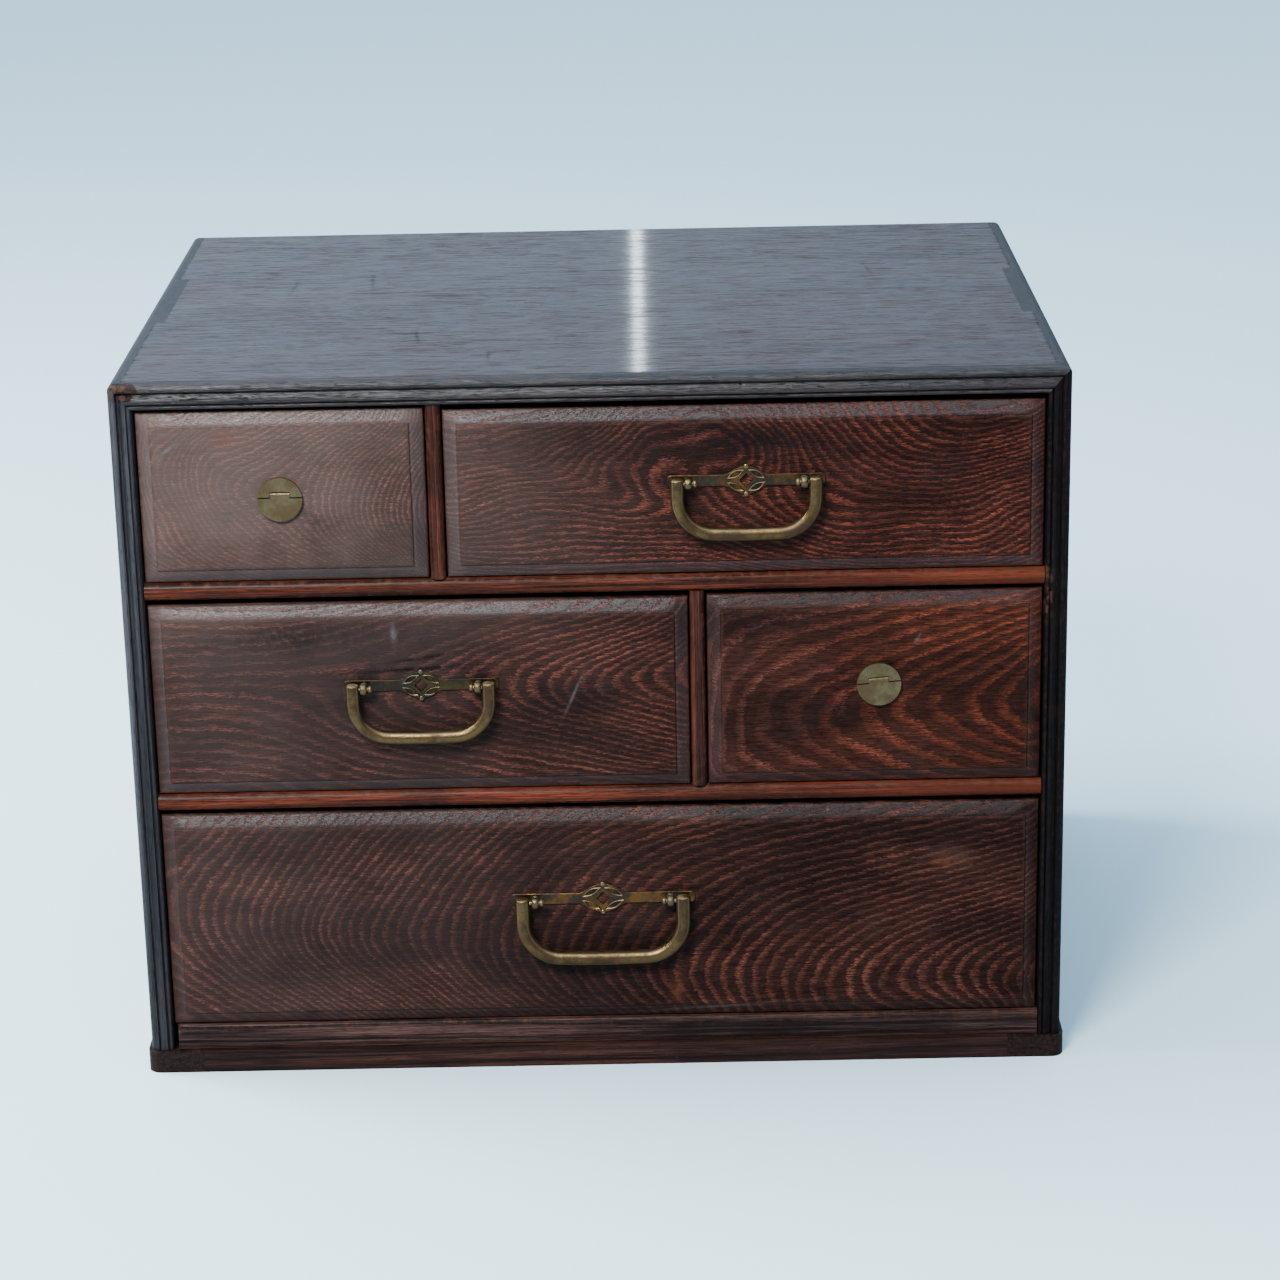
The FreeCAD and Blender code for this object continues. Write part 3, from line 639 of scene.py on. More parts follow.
low, top = box_mm("front_sill")
SHORT_BY, CHIP_DEPTH, CHIP_LENGTH, SILL_STEPS = 1.9, 2.2, 5, 70
rings, wear = [], []
for i in range(SILL_STEPS + 1):
    x = low[0] + SHORT_BY + (top[0] - low[0] - SHORT_BY) * (i / SILL_STEPS)
    chip = CHIP_DEPTH * max(0.0, 1 - (x - low[0]) / CHIP_LENGTH)
    ring = []
    section = [(0.0, 0.6), (0.25, 0.15), (1.0, 0.0), (5.0, 0.05), (9.2, 0.0), (10.1, 0.2),
               (10.5, 0.7), (10.5, 12.0), (0.0, 12.0)]
    for a, d in section:
        rough = wobble((x, a, d), 7, 0.1) if d < 5 else 0.0
        ring.append((x, low[1] + d + rough + 0.08 + (chip if a > 5 and d < 5 else 0.0),
                     low[2] + a))
    rings.append(ring)
    wear.append([0.4, 0.3, 0.1, 0.0, 0.3, 0.9, 0.6, 0.0, 0.0])
sill_red = red_wood("sill_stain", "x", (0.012, 0.007, 0.0062), (0.105, 0.052, 0.041), 1.5)
new_piece("front_sill_strip", skin(rings, wear), sill_red, "case", ["front_sill"])


# ---------------------------------------------------------------------------------------
# Drawer fronts. Boards cut across wild figured wood, stained red-brown, each with a flat
# field, a fine cut line round it and a thumbnail edge. The growth lines differ on each.

# Growth rings: each ring starts with a ragged reddish line of open pores and darkens on.
growth_rings, g, given, out = new_group(
    "growth_rings",
    [("Rings", "Float"), ("Position", "Vector"), ("Deep", "Color"), ("Bright", "Color"),
     ("Line Width", "Float"), ("Ragged", "Float")],
    [("Color", "Color"), ("Height", "Float"), ("Rough", "Float")],
)
fine = g.stretch(given["Position"], (0.45, 2.1, 2.1))
comb = g.times(g.minus(g.noise(fine, 1.0, 2.0, 0.75), 0.5), given["Ragged"])
ripple = g.minus(g.noise(given["Position"], 0.10, 3.0, 0.55), 0.5)
count = g.plus(given["Rings"], g.plus(comb, g.times(ripple, 0.9)))
part = g.math("FRACT", count)
rise = g.step(part, 0.0, 0.14)
fall = g.step(part, given["Line Width"], g.plus(given["Line Width"], 0.45), 1.0, 0.0)
line = g.times(rise, fall)
vary = g.add("ShaderNodeTexWhiteNoise", noise_dimensions="1D")
g.feed(vary.inputs["W"], g.math("FLOOR", count))
strength = g.step(vary.outputs["Value"], 0.0, 1.0, 0.55, 1.0)
cloud = g.noise(given["Position"], 0.03, 3.0, 0.6)
strength = g.times(strength, g.step(cloud, 0.32, 0.62, 0.55, 1.2))
line = g.times(line, strength, clamp=True)
half_line = g.math("PINGPONG", g.plus(g.times(count, 3.0), 0.2), 0.5)
line = g.plus(line, g.times(half_line, 0.26), clamp=True)
pores = g.noise(g.stretch(given["Position"], (0.7, 4.6, 4.6)), 1.0, 0.0)
pores = g.step(pores, 0.52, 0.66)
colour = g.mix(line, given["Deep"], given["Bright"])
dark_pore = g.times(pores, g.times(g.plus(line, 0.25), 0.7))
colour = g.mix(dark_pore, colour, (0.006, 0.003, 0.003))
fibre = g.noise(g.stretch(given["Position"], (0.16, 2.2, 2.2)), 1.0, 3.0, 0.7)
colour = g.shade(colour, g.step(fibre, 0.3, 0.7, 0.38, 1.62))
g.feed(out["Color"], colour)
g.feed(out["Height"], g.minus(g.times(line, -0.8), dark_pore))
g.feed(out["Rough"], g.plus(g.times(line, 0.16), 0.38))

# Each front: its middle, rings per millimetre across X and Z there, and its swellings as
# (x, z, reach along, reach across, turn in degrees, rings).
FIGURES = {
    "upper_left": ((-120, 242), (0.49, 0.11), [
        (-153, 222, 75, 19, 3, 13.1), (-148, 247, 32, 17, -1, 13.0),
        (-89, 202, 72, 27, -26, -10.0), (-173, 286, 12, 57, -1, 10.8),
        (-100, 289, 73, 22, -21, -17.8), (-152, 265, 12, 16, -59, 5.6)]),
    "upper_right": ((59, 241.5), (-0.014, -0.378), [
        (61, 259, 30, 12, 13, 2.6), (49, 235, 119, 20, -20, -8.2),
        (142, 262, 26, 56, -59, -7.7), (16, 249, 84, 10, -23, 3.1),
        (149, 222, 22, 16, -23, -4.0), (66, 292, 96, 23, 29, 9.7),
        (-82, 250, 64, 18, -27, -6.5), (42, 250, 27, 40, 44, 8.9), (34, 270, 65, 12, -60, -2.5)]),
    "middle_left": ((-69, 159), (0.038, 0.270), [
        (-196, 132, 90, 43, -53, 3.5), (-118, 98, 68, 25, 44, 3.8),
        (-14, 165, 77, 23, 11, 16.2), (-196, 101, 48, 16, -38, -8.0),
        (-37, 179, 62, 15, 20, 4.9), (5, 203, 59, 74, -23, -16.3),
        (40, 147, 95, 34, 9, 14.6), (-57, 156, 51, 40, 3, -13.4),
        (-49, 130, 37, 52, 60, 8.1)]),
    "middle_right": ((109, 159), (-0.176, 0.008), [
        (31, 122, 40, 27, -4, -8.3), (123, 155, 41, 17, -1, -2.2),
        (182, 99, 85, 35, 20, 9.1), (55, 194, 66, 18, -15, -2.9),
        (184, 219, 50, 34, 8, 13.0), (38, 169, 35, 88, 60, -10.1)]),
    "bottom": ((0, 65), (0.150, -0.231), [
        (-26, -6, 156, 35, -2, -21.0), (56, 79, 155, 20, -19, 0.8),
        (137, -5, 55, 27, 11, -15.2), (-163, 58, 63, 38, -33, 5.6),
        (212, 122, 166, 61, -2, -12.5), (-101, 57, 35, 20, -3, 2.7),
        (-155, 17, 95, 65, -26, -20.7), (17, 105, 160, 45, 7, 5.6)]),
}


# Old marks on single fronts, placed by x and z, and one band of painted shade.
SCUFF = (0.085, 0.042, 0.026)
FRONT_MARKS_AND_SHADE = {
    "upper_left": [(-141, 266, 5, 3, 0, 0.45, RUST), (-163, 262, 5, 0.6, 35, 0.9, PALE),
                   (-112, 236, 7, 2.5, -40, 0.4, SOOT_AND_SHADE)],
    "upper_right": [(62, 262, 26, 6, 2, 0.9, SOOT_AND_SHADE), (87, 246, 7, 6, 0, 0.8, SOOT_AND_SHADE),
                    (33, 248, 5, 5, 0, 0.7, SOOT_AND_SHADE)],
    "middle_left": [(-79, 186, 1.1, 3.6, 0, 0.7, PALE), (-9, 160, 0.6, 8, -24, 0.5, PALE),
                    (-70, 171.5, 28, 1.0, 3, 1.1, SOOT_AND_SHADE), (-68, 176, 12, 0.8, 8, 1.0, SOOT_AND_SHADE),
                    (-92, 167, 7, 3, 0, 0.8, SOOT_AND_SHADE), (-48, 168, 7, 3, 0, 0.8, SOOT_AND_SHADE),
                    (-120, 186, 30, 7, 0, 0.6, SOOT_AND_SHADE)],
    "middle_right": [(70, 188, 34, 9, 4, 0.6, SOOT_AND_SHADE), (60, 160, 14, 26, 0, 0.2, SOOT_AND_SHADE),
                     (126, 180, 0.6, 2.2, -30, 0.6, PALE), (168, 158, 6, 9, 0, 0.6, SOOT_AND_SHADE),
                     # Painted shade: a long dark band along the top edge of this front, under the
                     # rail above.
                     (110, 199, 90, 4, 0, 0.9, SOOT_AND_SHADE)],
    "bottom": [(142, 88, 8, 4, -15, 0.55, SCUFF), (137, 86, 4, 2, 0, 0.5, RUST),
               (30, 32, 3, 5, 0, 0.5, RUST), (-118, 25, 4, 2, 0, 0.8, SOOT_AND_SHADE),
               (10, 90, 22, 6, 0, 0.5, SOOT_AND_SHADE), (45, 24, 30, 0.7, 4, 0.4, PALE)],
}


def figured_front(name, centre, slope, swellings, deep, bright, thick, ragged):
    """The stain of one front: growth rings, age marks with painted shade where its list gives it,
    a painted sheen over the left side, and a worn edge.
    """
    material, g, shader = new_material(
        name + "_figured_stain", (0.1, 0.04, 0.03), Specular_IOR_Level=0.07, Coat_Roughness=0.38)
    spot = g.millimetres()
    x, y, z = g.split(spot)
    flat = g.join(x, z, 0.0)
    count = g.plus(g.times(g.minus(x, centre[0]), slope[0]),
                   g.times(g.minus(z, centre[1]), slope[1]))
    for px, pz, along, across, turn, rings in swellings:
        hump = g.group(swelling, Position=flat, Centre=(px, pz, 0), Turn=-math.radians(turn),
                       Reach=(along, across, 1), Height=rings)
        count = g.plus(count, hump["Rings"])
    count = g.plus(count, g.times(y, 0.12))
    left, right = (corner[0] for corner in box_mm(name + "_drawer_front"))
    tone = g.mix(g.step(x, left, left + 0.8 * (right - left)), (0.105, 0.033, 0.022), bright)
    rings = g.group(growth_rings, Rings=count, Position=spot, Deep=deep, Bright=tone,
                    Line_Width=thick, Ragged=ragged)
    marks = g.group(handling, Position=spot, Amount=0.8)
    colour = g.mix(g.times(marks["Rubbed"], 0.30), rings["Color"], (0.034, 0.020, 0.018))
    cloud = g.noise(g.stretch(spot, (0.014, 0.04, 0.04)), 1.0, 3.0, 0.6)
    colour = g.shade(colour, g.step(cloud, 0.36, 0.64, 0.6, 1.35))
    # Painted sheen: grey added to the base colour over the left, upper part of each front,
    # standing in for light reflected off it.
    painted_left_sheen = g.times(g.step(x, 60.0, -160.0), g.step(z, 150.0, 245.0, 0.30, 1.0))
    painted_left_sheen = g.times(painted_left_sheen, g.step(g.noise(spot, 0.02, 4.0, 0.6), 0.3, 0.6, 0.5, 0.9))
    colour = g.mix(painted_left_sheen, colour, (0.105, 0.077, 0.065), "ADD")
    colour, _ = marks_and_shade(g, colour, spot, flat, FRONT_MARKS_AND_SHADE[name])
    worn = g.painted("wear")
    patchy = g.noise(spot, 0.4, 3.0, 0.7)
    worn = g.times(worn, g.step(patchy, 0.36, 0.64), clamp=True)
    colour = g.mix(worn, colour, (0.06, 0.028, 0.02))
    colour = g.mix(g.times(marks["Scratches"], 0.5), colour, (0.09, 0.06, 0.05))
    g.feed(shader["Base Color"], colour)
    g.feed(shader["Roughness"], g.plus(rings["Rough"], g.times(marks["Rubbed"], 0.1)))
    polish = g.painted("polish")
    broken = g.minus(1.1, g.times(rings["Rough"], 0.9))
    g.feed(shader["Coat Weight"], g.times(polish, broken, clamp=True))
    relief = g.minus(rings["Height"], g.times(marks["Dents"], 1.5))
    relief = g.bump(relief, 0.5)
    g.feed(shader["Normal"], relief)
    g.feed(shader["Coat Normal"], relief)
    return material


POINT_SPACING = 6
# How far the worked board goes back, and the steps cut into its back for the drawer sides
# and at its foot, in millimetres.
FRONT_DEPTH, SIDE_REBATE, FOOT_REBATE = 7.0, 6, 4

# (inset from the edge, depth behind the field, wear) of the front's worked edge.
EDGE_STEPS = [
    (0.0, FRONT_DEPTH, 0.0), (0.0, 4.2, 0.15), (0.15, 3.6, 0.7), (0.55, 3.22, 0.9),
    (1.2, 2.85, 0.3), (2.2, 2.25, 0.1), (3.3, 1.6, 0.05), (4.3, 1.05, 0.1),
    (5.0, 0.78, 0.3), (5.35, 0.8, 0.1), (5.6, 0.55, 0.1), (5.72, 0.12, 0.9),
    (6.0, 0.0, 0.5), (7.0, -0.02, 0.0),
]


def drawer_front(name, gloss):
    """A worked front board with the rebated block that the drawer sides meet behind it."""
    low, top = box_mm(name + "_drawer_front")
    builder = bmesh.new()
    layer = builder.verts.layers.float.new("wear")
    polish = builder.verts.layers.float.new("polish")
    across, up = (int((top[i] - low[i]) / POINT_SPACING) for i in (0, 2))
    loops = []
    for inset, depth, worn in EDGE_STEPS:
        x0, x1, z0, z1 = low[0] + inset, top[0] - inset, low[2] + inset, top[2] - inset
        ring = [(x0 + (x1 - x0) * i / across, z0) for i in range(across)]
        ring += [(x1, z0 + (z1 - z0) * i / up) for i in range(up)]
        ring += [(x1 - (x1 - x0) * i / across, z1) for i in range(across)]
        ring += [(x0, z1 - (z1 - z0) * i / up) for i in range(up)]
        row = []
        for x, z in ring:
            rough = wobble((x, depth, z), 11, 0.12) + wobble((x, depth, z), 2.5, 0.05)
            y = low[1] + depth + (rough if 0 < inset < 6.5 else 0) + 0.03
            vert = builder.verts.new(Vector((x, y, z)) * MM)
            vert[layer] = worn
            vert[polish] = gloss if 0.1 < inset < 5.2 else 0.03
            row.append(vert)
        loops.append(row)
    bridge(builder, loops)
    builder.faces.new(loops[-1])
    builder.faces.new(list(reversed(loops[0])))
    back = low[1] + FRONT_DEPTH
    foot_top = low[2] + FOOT_REBATE
    for x0, x1, z0, z1 in ((low[0], top[0], low[2], foot_top),
                           (low[0] + SIDE_REBATE, top[0] - SIDE_REBATE, foot_top, top[2])):
        made = bmesh.ops.create_cube(builder, size=1.0)["verts"]
        for vert in made:
            vert.co = Vector((x0 if vert.co.x < 0 else x1, back if vert.co.y < 0 else top[1],
                              z0 if vert.co.z < 0 else z1)) * MM
    return builder


# The wood and the growth lines at the right of each front, how wide the lines are, how
# ragged they are, and how glossy its worked edge is.
DEEP = (0.0155, 0.0061, 0.0042)
RED_LINES = {
    "upper_left": (DEEP, (0.090, 0.034, 0.023), 0.14, 1.3, 0.95),
    "upper_right": (DEEP, (0.165, 0.036, 0.019), 0.15, 1.2, 1.0),
    "middle_left": (DEEP, (0.130, 0.036, 0.022), 0.12, 1.0, 0.85),
    "middle_right": ((0.031, 0.0096, 0.0052), (0.190, 0.040, 0.016), 0.12, 0.7, 0.5),
    "bottom": (DEEP, (0.115, 0.034, 0.020), 0.12, 0.9, 0.45),
}
for name, (centre, slope, swellings) in FIGURES.items():
    deep, bright, thick, ragged, gloss = RED_LINES[name]
    stain = figured_front(name, centre, slope, swellings, deep, bright, thick, ragged)
    new_piece(name + "_front_board", drawer_front(name, gloss), stain, name + "_drawer",
              [name + "_drawer_front"], 50)
    for board in ("_back", "_floor"):
        finish_node(name + "_drawer" + board, bare_across, 0.3)
    for board in ("_left_side", "_right_side"):
        finish_node(name + "_drawer" + board, bare_deep, 0.3)


# ---------------------------------------------------------------------------------------
# Drop handles. Cast and filed brass, aged to olive brown with brighter worn arrises: a
# thin pierced back plate, two eye posts and a bar bail hooked into them.

def brass(name, clean, stain, worn_colour, amount, dirt=0.5, rough=0.30):
    """Aged brass: stained in clouds, specked with dirt, cleaner where the wear value is high."""
    material, g, shader = new_material(name, clean)
    spot = g.millimetres()
    patina = g.step(g.noise(spot, 0.13, 4.0, 0.65), 0.38, 0.6)
    speck = g.step(g.noise(spot, 0.8, 3.0, 0.7), 0.5, 0.72)
    colour = g.mix(g.times(patina, amount), clean, stain)
    colour = g.mix(g.times(speck, dirt), colour, (0.035, 0.024, 0.015))
    worn = g.painted("wear")
    colour = g.mix(g.times(worn, 0.8), colour, worn_colour)
    g.feed(shader["Base Color"], colour)
    rough = g.plus(g.times(patina, 0.16), rough)
    g.feed(shader["Roughness"], g.plus(rough, g.times(speck, 0.18)))
    g.feed(shader["Metallic"], g.step(g.plus(patina, speck), 0.2, 1.8, 1.0, 0.55))
    relief = g.minus(g.noise(spot, 0.9, 3.0), speck)
    g.feed(shader["Normal"], g.bump(relief, 0.25, 0.0002))
    return material


bail_brass = brass("bail_brass", (0.18, 0.115, 0.046), (0.068, 0.037, 0.016),
                   (0.42, 0.29, 0.14), 0.95, 0.5, 0.35)
post_brass = brass("post_brass", (0.12, 0.080, 0.036), (0.04, 0.026, 0.014),
                   (0.26, 0.19, 0.095), 0.95)
plate_brass = brass("plate_patina", (0.17, 0.072, 0.022), (0.018, 0.0125, 0.011),
                    (0.26, 0.18, 0.08), 1.0)
dark_plate = brass("dark_plate_patina", (0.075, 0.045, 0.018), (0.014, 0.0115, 0.010),
                   (0.17, 0.13, 0.07), 1.0)


def sweep(path, section_at):
    """Carry a section (list of (across, forward)) along a path in the X-Z plane."""
    rings, wear = [], []
    for i, point in enumerate(path):
        before, after = path[max(i - 1, 0)], path[min(i + 1, len(path) - 1)]
        run = Vector((after[0] - before[0], 0, after[1] - before[1])).normalized()
        side = Vector((run.z, 0, -run.x))
        ring, worn = [], []
        for a, f, w in section_at(i / (len(path) - 1)):
            ring.append((point[0] + side.x * a, f, point[1] + side.z * a))
            worn.append(w)
        rings.append(ring)
        wear.append(worn)
    return rings, wear


def bail_path(arm, drop, bend, rise):
    """Centre line of the bail, from the top of the left arm round to the right one."""
    path = [(-arm, rise - rise * i / 3) for i in range(3)]
    path += [(-arm, (bend - drop) * i / 6) for i in range(6)]
    path += arc((bend - arm, bend - drop), bend, 180, 270, 14)
    path += [(bend - arm + 2 * (arm - bend) * i / 16, -drop - 0.25 * math.sin(math.pi * i / 16))
             for i in range(1, 16)]
    path += arc((arm - bend, bend - drop), bend, 270, 360, 14)
    path += [(arm, (bend - drop) * (5 - i) / 6) for i in range(6)]
    path += [(arm, rise * (i + 1) / 3) for i in range(3)]
    return path


def filed_section(wide, deep):
    """Round bar with a filed front: flat facets and soft arrises that catch the light."""
    points = []
    sides, power = 24, 0.92
    for i in range(sides):
        t = 2 * math.pi * i / sides
        c, s = math.cos(t), math.sin(t)
        a = math.copysign(abs(c) ** power, c) * wide
        f = math.copysign(abs(s) ** power, s) * deep
        on_arris = abs(abs(c) - abs(s)) < 0.28 and s < 0
        points.append((a, f, 0.4 if on_arris else 0.0))
    return points


# For each handle, in millimetres: half the distance between the eyes, the reach of an arm
# from the middle, the drop, half the bar, the bend, and the plate's length, width and height.
HANDLES = {
    "upper_right": (22.4, 26.7, 20.2, 2.3, 14.08, 61, 16, 11),
    "middle_left": (22.4, 26.7, 20.2, 2.3, 14.08, 61, 16, 11),
    "bottom": (27.1, 32.2, 24.0, 2.5, 15.36, 74, 18, 12),
}
ARM_RISE = 1.4  # how far the arms reach above the line of the swing
EYE_HALF = 1.4  # half the width of an eye along that line
PEG_PLAY = 0.35  # the space between a peg's collar and its eye


def lathe(builder, layer, profile, axis, centre, worn=0.0, steps=28):
    """Turn (radius, run) points about an axis: 'x' or 'y'."""
    rows = []
    for radius, run in profile:
        ring = []
        for i in range(steps):
            t = 2 * math.pi * i / steps
            a, b = radius * math.cos(t), radius * math.sin(t)
            ring.append(Vector((run, a, b) if axis == "x" else (a, run, b)) + Vector(centre))
        rows.append(add_points(builder, layer, ring, [worn] * steps))
    bridge(builder, rows)
    builder.faces.new(rows[0])
    builder.faces.new(list(reversed(rows[-1])))


def swing_centre(name):
    """The middle of the line that a bail swings about, in millimetres."""
    joint = [j for j in frame["joints"] if j["name"] == name + "_bail_swing"][0]
    return Vector(joint["pos_m"]) / MM


def drop_bail(name, spread, arm, drop, bar, bend):
    """The bar, its filed ends, and the two short pegs that turn in the eyes."""
    pivot = swing_centre(name)
    path = bail_path(arm, drop, bend, ARM_RISE)

    def section_at(t):
        near_end = max(0.0, 1 - min(t, 1 - t) * 6)
        return filed_section(bar * (1.14 + 0.02 * near_end), bar * (1.12 - 0.08 * near_end))

    rings, wear = sweep(path, section_at)
    for ring, at in ((rings[0], 0), (rings[-1], -1)):
        middle = path[at]
        cap = [(middle[0] + (x - middle[0]) * 0.72, y * 0.72, z + 0.5) for x, y, z in ring]
        if at == 0:
            rings.insert(0, cap)
            wear.insert(0, [0.9] * len(cap))
        else:
            rings.append(cap)
            wear.append([0.9] * len(cap))
    rings = [[(x + pivot.x, y + pivot.y, z + pivot.z) for x, y, z in ring] for ring in rings]
    builder = skin(rings, wear)
    layer = builder.verts.layers.float["wear"]
    inner = spread - EYE_HALF - PEG_PLAY
    for way in (-1, 1):
        hook = [(0.9, way * (arm - 0.5)), (0.9, way * inner), (1.15, way * (inner - 0.1)),
                (1.4, way * (inner - 0.5)), (1.4, way * (inner - 1.1)),
                (1.1, way * (inner - 1.5)), (0.5, way * (inner - 1.7))]
        lathe(builder, layer, hook, "x", pivot, 0.5)
    return builder


def eye_posts(name, spread):
    """Two turned eyes: a thick ring on a collared neck, its shank clinched behind."""
    steps = 28
    pivot = swing_centre(name)
    builder = bmesh.new()
    layer = builder.verts.layers.float.new("wear")
    for way in (-1, 1):
        centre = pivot + Vector((spread * way, 0, 0))
        half = [(0.98, EYE_HALF), (1.2, EYE_HALF), (1.9, 1.3), (2.3, 0.95), (2.4, 0.4)]
        cross = [(r, -run) for r, run in half] + list(reversed(half))
        rows = []
        for i in range(steps):
            t = 2 * math.pi * i / steps
            ring = [Vector((run, r * math.cos(t), r * math.sin(t))) + centre for r, run in cross]
            rows.append(add_points(builder, layer, ring, [0.5] * len(ring)))
        bridge(builder, rows + rows[:1])
        neck = [(1.0, 2.1), (1.0, 3.0), (1.5, 3.3), (1.7, 3.7), (1.7, 3.9)]
        lathe(builder, layer, neck, "y", centre, 0.3)
        shank = [(1.0, 3.8), (1.0, 16.6), (1.5, 16.7), (1.45, 17.3), (0.8, 17.65)]
        lathe(builder, layer, shank, "y", centre, 0.0)
    return builder


def back_plate(name, length, wide, tall):
    """Thin strip with a pierced lozenge of four leaves, a bead above and one below."""
    low, top = box_mm(name + "_handle_plate")
    centre = Vector(((low[0] + top[0]) / 2, top[1], (low[2] + top[2]) / 2))
    builder = bmesh.new()
    layer = builder.verts.layers.float.new("wear")
    half, rise, corner = length / 2, 2.35, 1.6
    wing, peak = wide / 2 + 0.3, tall / 2 + 0.1
    quarter = [(wing, rise - 0.1), (wing * 0.80, peak * 0.52), (wing * 0.52, peak * 0.80),
               (wing * 0.25, peak * 0.95), (0.9, peak)]
    right = [(x, -z) for x, z in reversed(quarter)] + [(half - corner, -rise)]
    right += arc((half - corner, corner - rise), corner, 285, 360, 5)
    right += arc((half - corner, rise - corner), corner, 0, 75, 5) + [(half - corner, rise)]
    right += quarter
    edge = right + [(-x, -z) for x, z in right]
    hole = [(0, -2.7), (2.5, 0), (0, 2.7), (-2.5, 0)]
    levels = [(0.0, 0.0, 0.0), (0.6, 0.0, 0.1), (0.8, 0.2, 0.12)]
    rims = []
    for forward, shrink, worn in levels:
        rim = []
        for outline, sign in ((edge, -1), (hole, 1)):
            spots = []
            for x, z in outline:
                far = math.hypot(x, z) or 1.0
                if sign < 0:
                    zz = z - math.copysign(min(shrink, abs(z)), z)
                    xx = x - math.copysign(min(shrink, abs(x)), x) if abs(x) > half - 2 else x
                else:
                    xx, zz = x * (1 + shrink / far), z * (1 + shrink / far)
                spots.append(centre + Vector((xx, -forward, zz)))
            rim.append(add_points(builder, layer, spots, [worn] * len(spots)))
        rims.append(rim)
    for first, second in zip(rims, rims[1:]):
        for pair in zip(first, second):
            bridge(builder, pair)
    for rim in (rims[0], rims[-1]):
        edges = []
        for row in rim:
            for i in range(len(row)):
                edges.append(builder.edges.get((row[i], row[(i + 1) % len(row)])))
        bmesh.ops.triangle_fill(builder, use_beauty=True, edges=edges)

    def raised(points, heights):
        """A low relief on the plate: an outline with (scale, height, wear) steps."""
        rows = []
        for scale, forward, worn in heights:
            mid = Vector((sum(p[0] for p in points), sum(p[1] for p in points))) / len(points)
            spots = [centre + Vector((mid.x + (x - mid.x) * scale, -forward,
                                      mid.y + (z - mid.y) * scale)) for x, z in points]
            rows.append(add_points(builder, layer, spots, [worn] * len(spots)))
        bridge(builder, rows)
        builder.faces.new(rows[-1])
        builder.faces.new(list(reversed(rows[0])))

    dome = [(1.0, 0.6, 0.1), (0.98, 0.95, 0.6), (0.8, 1.15, 0.9), (0.45, 1.25, 1.0)]
    rim = [(1.0, 0.6, 0.1), (0.97, 1.1, 0.7), (0.84, 1.3, 1.0), (0.70, 1.15, 0.7),
           (0.6, 0.86, 0.0)]
    for sx in (-1, 1):
        for sz in (-1, 1):
            near = Vector((0.5 * sx, (peak - 1.3) * sz))
            run = Vector(((wing - 0.7) * sx, 0.6 * sz)) - near
            side = Vector((run.y, -run.x)).normalized() * sx * -sz
            leaf = []
            for i in range(9):
                t = i / 8
                leaf.append(near + run * t - side * 1.2 * math.sin(math.pi * t))
            for i in range(1, 8):
                t = 1 - i / 8
                leaf.append(near + run * t + side * 1.5 * math.sin(math.pi * t))
            raised([(p.x, p.y) for p in leaf], rim)
    for sz in (-1, 1):
        turns = [2 * math.pi * i / 16 for i in range(16)]
        raised([(math.cos(t), (peak - 0.1) * sz + math.sin(t)) for t in turns], dome)
    return builder


for name, (spread, arm, drop, bar, bend, length, wide, tall) in HANDLES.items():
    new_piece(name + "_bail_bar", drop_bail(name, spread, arm, drop, bar, bend), bail_brass,
              name + "_bail", [name + "_handle_bail"], 60)
    new_piece(name + "_eye_pair", eye_posts(name, spread), post_brass, name + "_drawer",
              [name + "_handle_eyes"], 50)
    patina = dark_plate if name == "middle_left" else plate_brass
    new_piece(name + "_back_plate", back_plate(name, length, wide, tall), patina,
              name + "_drawer", [name + "_handle_plate"], 35)


# ---------------------------------------------------------------------------------------
# Round pulls. Flat brass discs split across the middle: the upper leaf is fixed to the cup
# let into the front, the lower flap lifts on a pin so that a fingertip gets behind it.

disc_brass = brass("disc_brass", (0.22, 0.165, 0.082), (0.11, 0.072, 0.030),
                   (0.5, 0.4, 0.22), 0.9, 0.35, 0.42)
pin_brass = brass("pin_brass", (0.06, 0.045, 0.025), (0.03, 0.022, 0.014), (0.1, 0.08, 0.04), 0.8)
for name in ("upper_left", "middle_right"):
    finish_node(name + "_pull_cup", disc_brass, 0.18, 2)
    finish_node(name + "_pull_flap", disc_brass, 0.18, 2)
    finish_node(name + "_pull_pin", pin_brass, 0.1, 2)


# ---------------------------------------------------------------------------------------
# The room: a pale floor, soft daylight from behind and above, a large soft lamp in front.

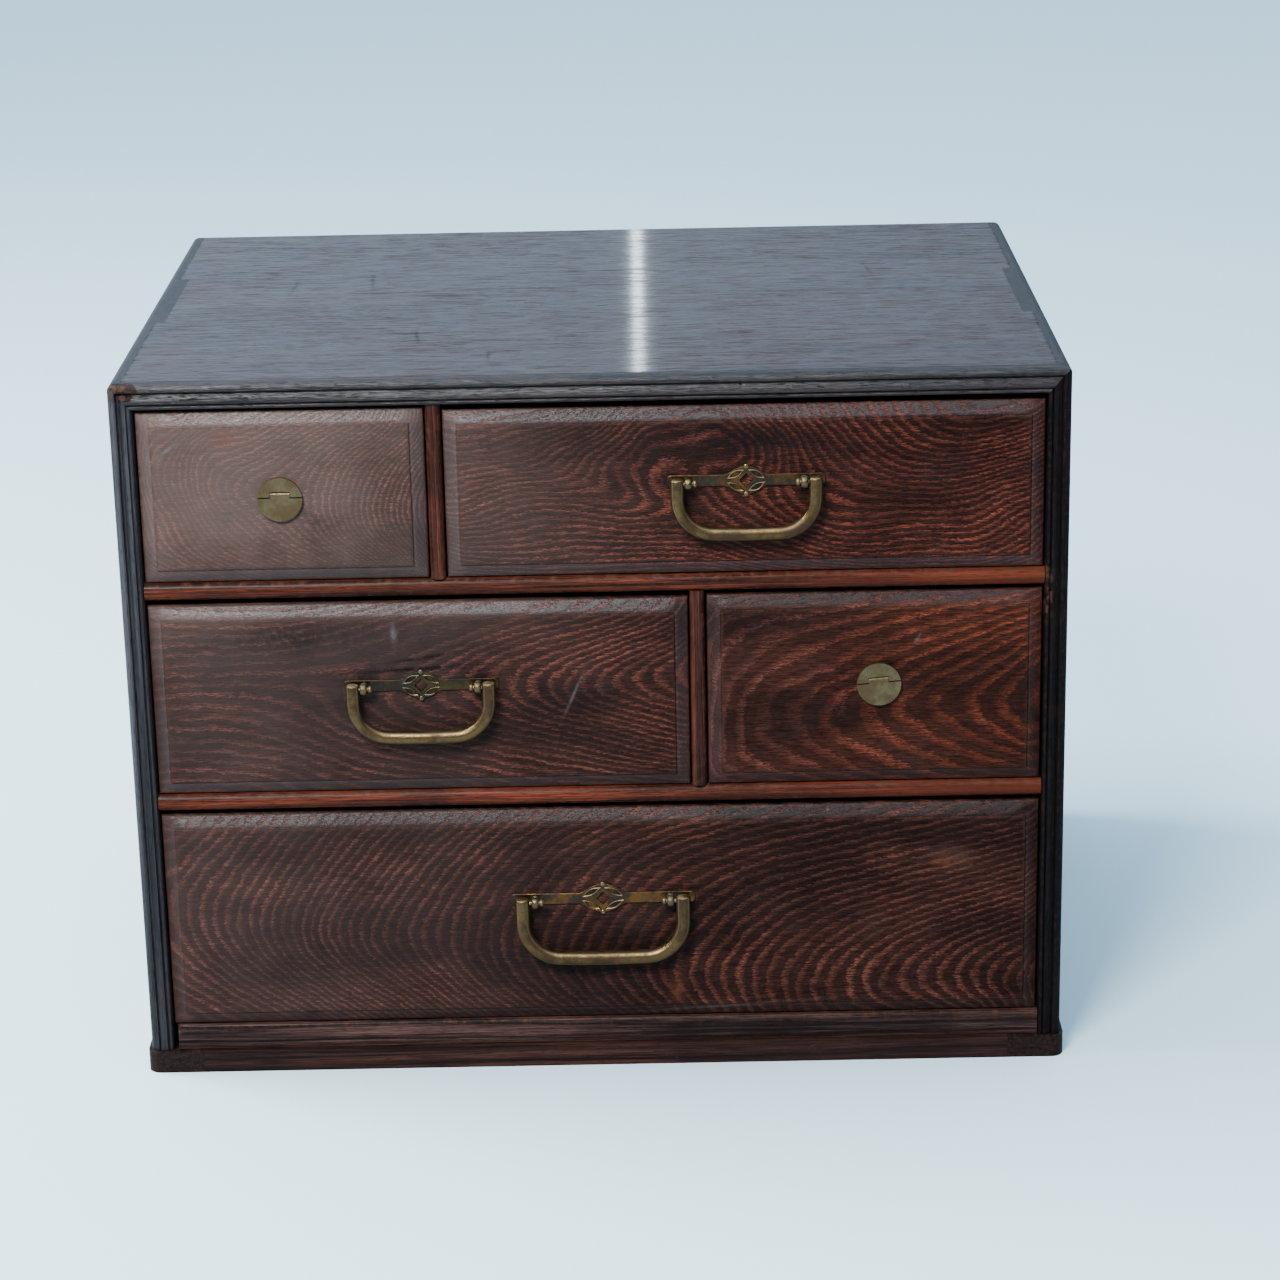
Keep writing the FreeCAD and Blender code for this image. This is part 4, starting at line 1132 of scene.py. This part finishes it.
floor_mesh = bpy.data.meshes.new("pale_floor")
builder = bmesh.new()
bmesh.ops.create_grid(builder, x_segments=2, y_segments=2, size=9.0)
builder.to_mesh(floor_mesh)
builder.free()
floor = bpy.data.objects.new("pale_floor", floor_mesh)
bpy.context.scene.collection.objects.link(floor)
floor_paint, g, shader = new_material("pale_floor_paint", (0.8, 0.86, 0.9), Roughness=0.8,
                                      Specular_IOR_Level=0.2)
seen = g.add("ShaderNodeLightPath").outputs["Is Camera Ray"]
g.feed(shader["Base Color"], g.mix(seen, (0.30, 0.35, 0.39), (0.76, 0.95, 1.0)))
floor_mesh.materials.append(floor_paint)

world = bpy.data.worlds.new("pale_room")
bpy.context.scene.world = world
world.use_nodes = True
g = Graph(world.node_tree)
sky = world.node_tree.nodes["Background"].inputs
sky["Color"].default_value = (0.66, 0.93, 1.22, 1.0)
way = g.split(g.add("ShaderNodeTexCoord").outputs["Generated"])
low = g.times(g.step(way["Y"], -0.35, 0.45, 0.07, 0.66),
             g.step(way["X"], -0.5, 0.5, 1.35, 0.55))
g.feed(sky["Strength"], g.plus(low, g.step(way["Z"], 0.5, 0.95, 0.0, 2.0)))


def soft_lamp(name, place, aim, size, power, tint):
    lamp = bpy.data.lights.new(name, "AREA")
    lamp.shape = "RECTANGLE"
    lamp.size, lamp.size_y = size
    lamp.energy = power
    lamp.color = tint
    item = bpy.data.objects.new(name, lamp)
    bpy.context.scene.collection.objects.link(item)
    item.location = place
    item.rotation_euler = (Vector(aim) - Vector(place)).to_track_quat("-Z", "Y").to_euler()
    item.visible_camera = False


soft_lamp("key_lamp", (-0.55, -1.45, 1.5), (0, -0.1, 0.15), (0.6, 0.5), 54, (0.97, 0.98, 1.0))
soft_lamp("side_lamp", (-1.3, 0.2, 1.3), (0, 0, 0.1), (0.9, 0.7), 60, (0.9, 0.95, 1.0))
soft_lamp("window_strip", (0.012, 2.3, 0.80), (0.0, 0, 0.28), (0.010, 0.5), 0.13,
          (0.82, 0.93, 1.0))

lens = bpy.data.cameras.new("camera")
lens.sensor_width = 36
lens.lens = 97.1
lens.clip_start = 0.05
camera = bpy.data.objects.new("camera", lens)
bpy.context.scene.collection.objects.link(camera)
camera.matrix_world = (
    Matrix.Translation((0.0230, -1.4180, 0.6067))
    @ Matrix.Rotation(math.radians(0.25), 4, "Z")
    @ Matrix.Rotation(math.radians(90 - 18.33), 4, "X")
    @ Matrix.Rotation(math.radians(-1.18), 4, "Z")
)
bpy.context.scene.camera = camera
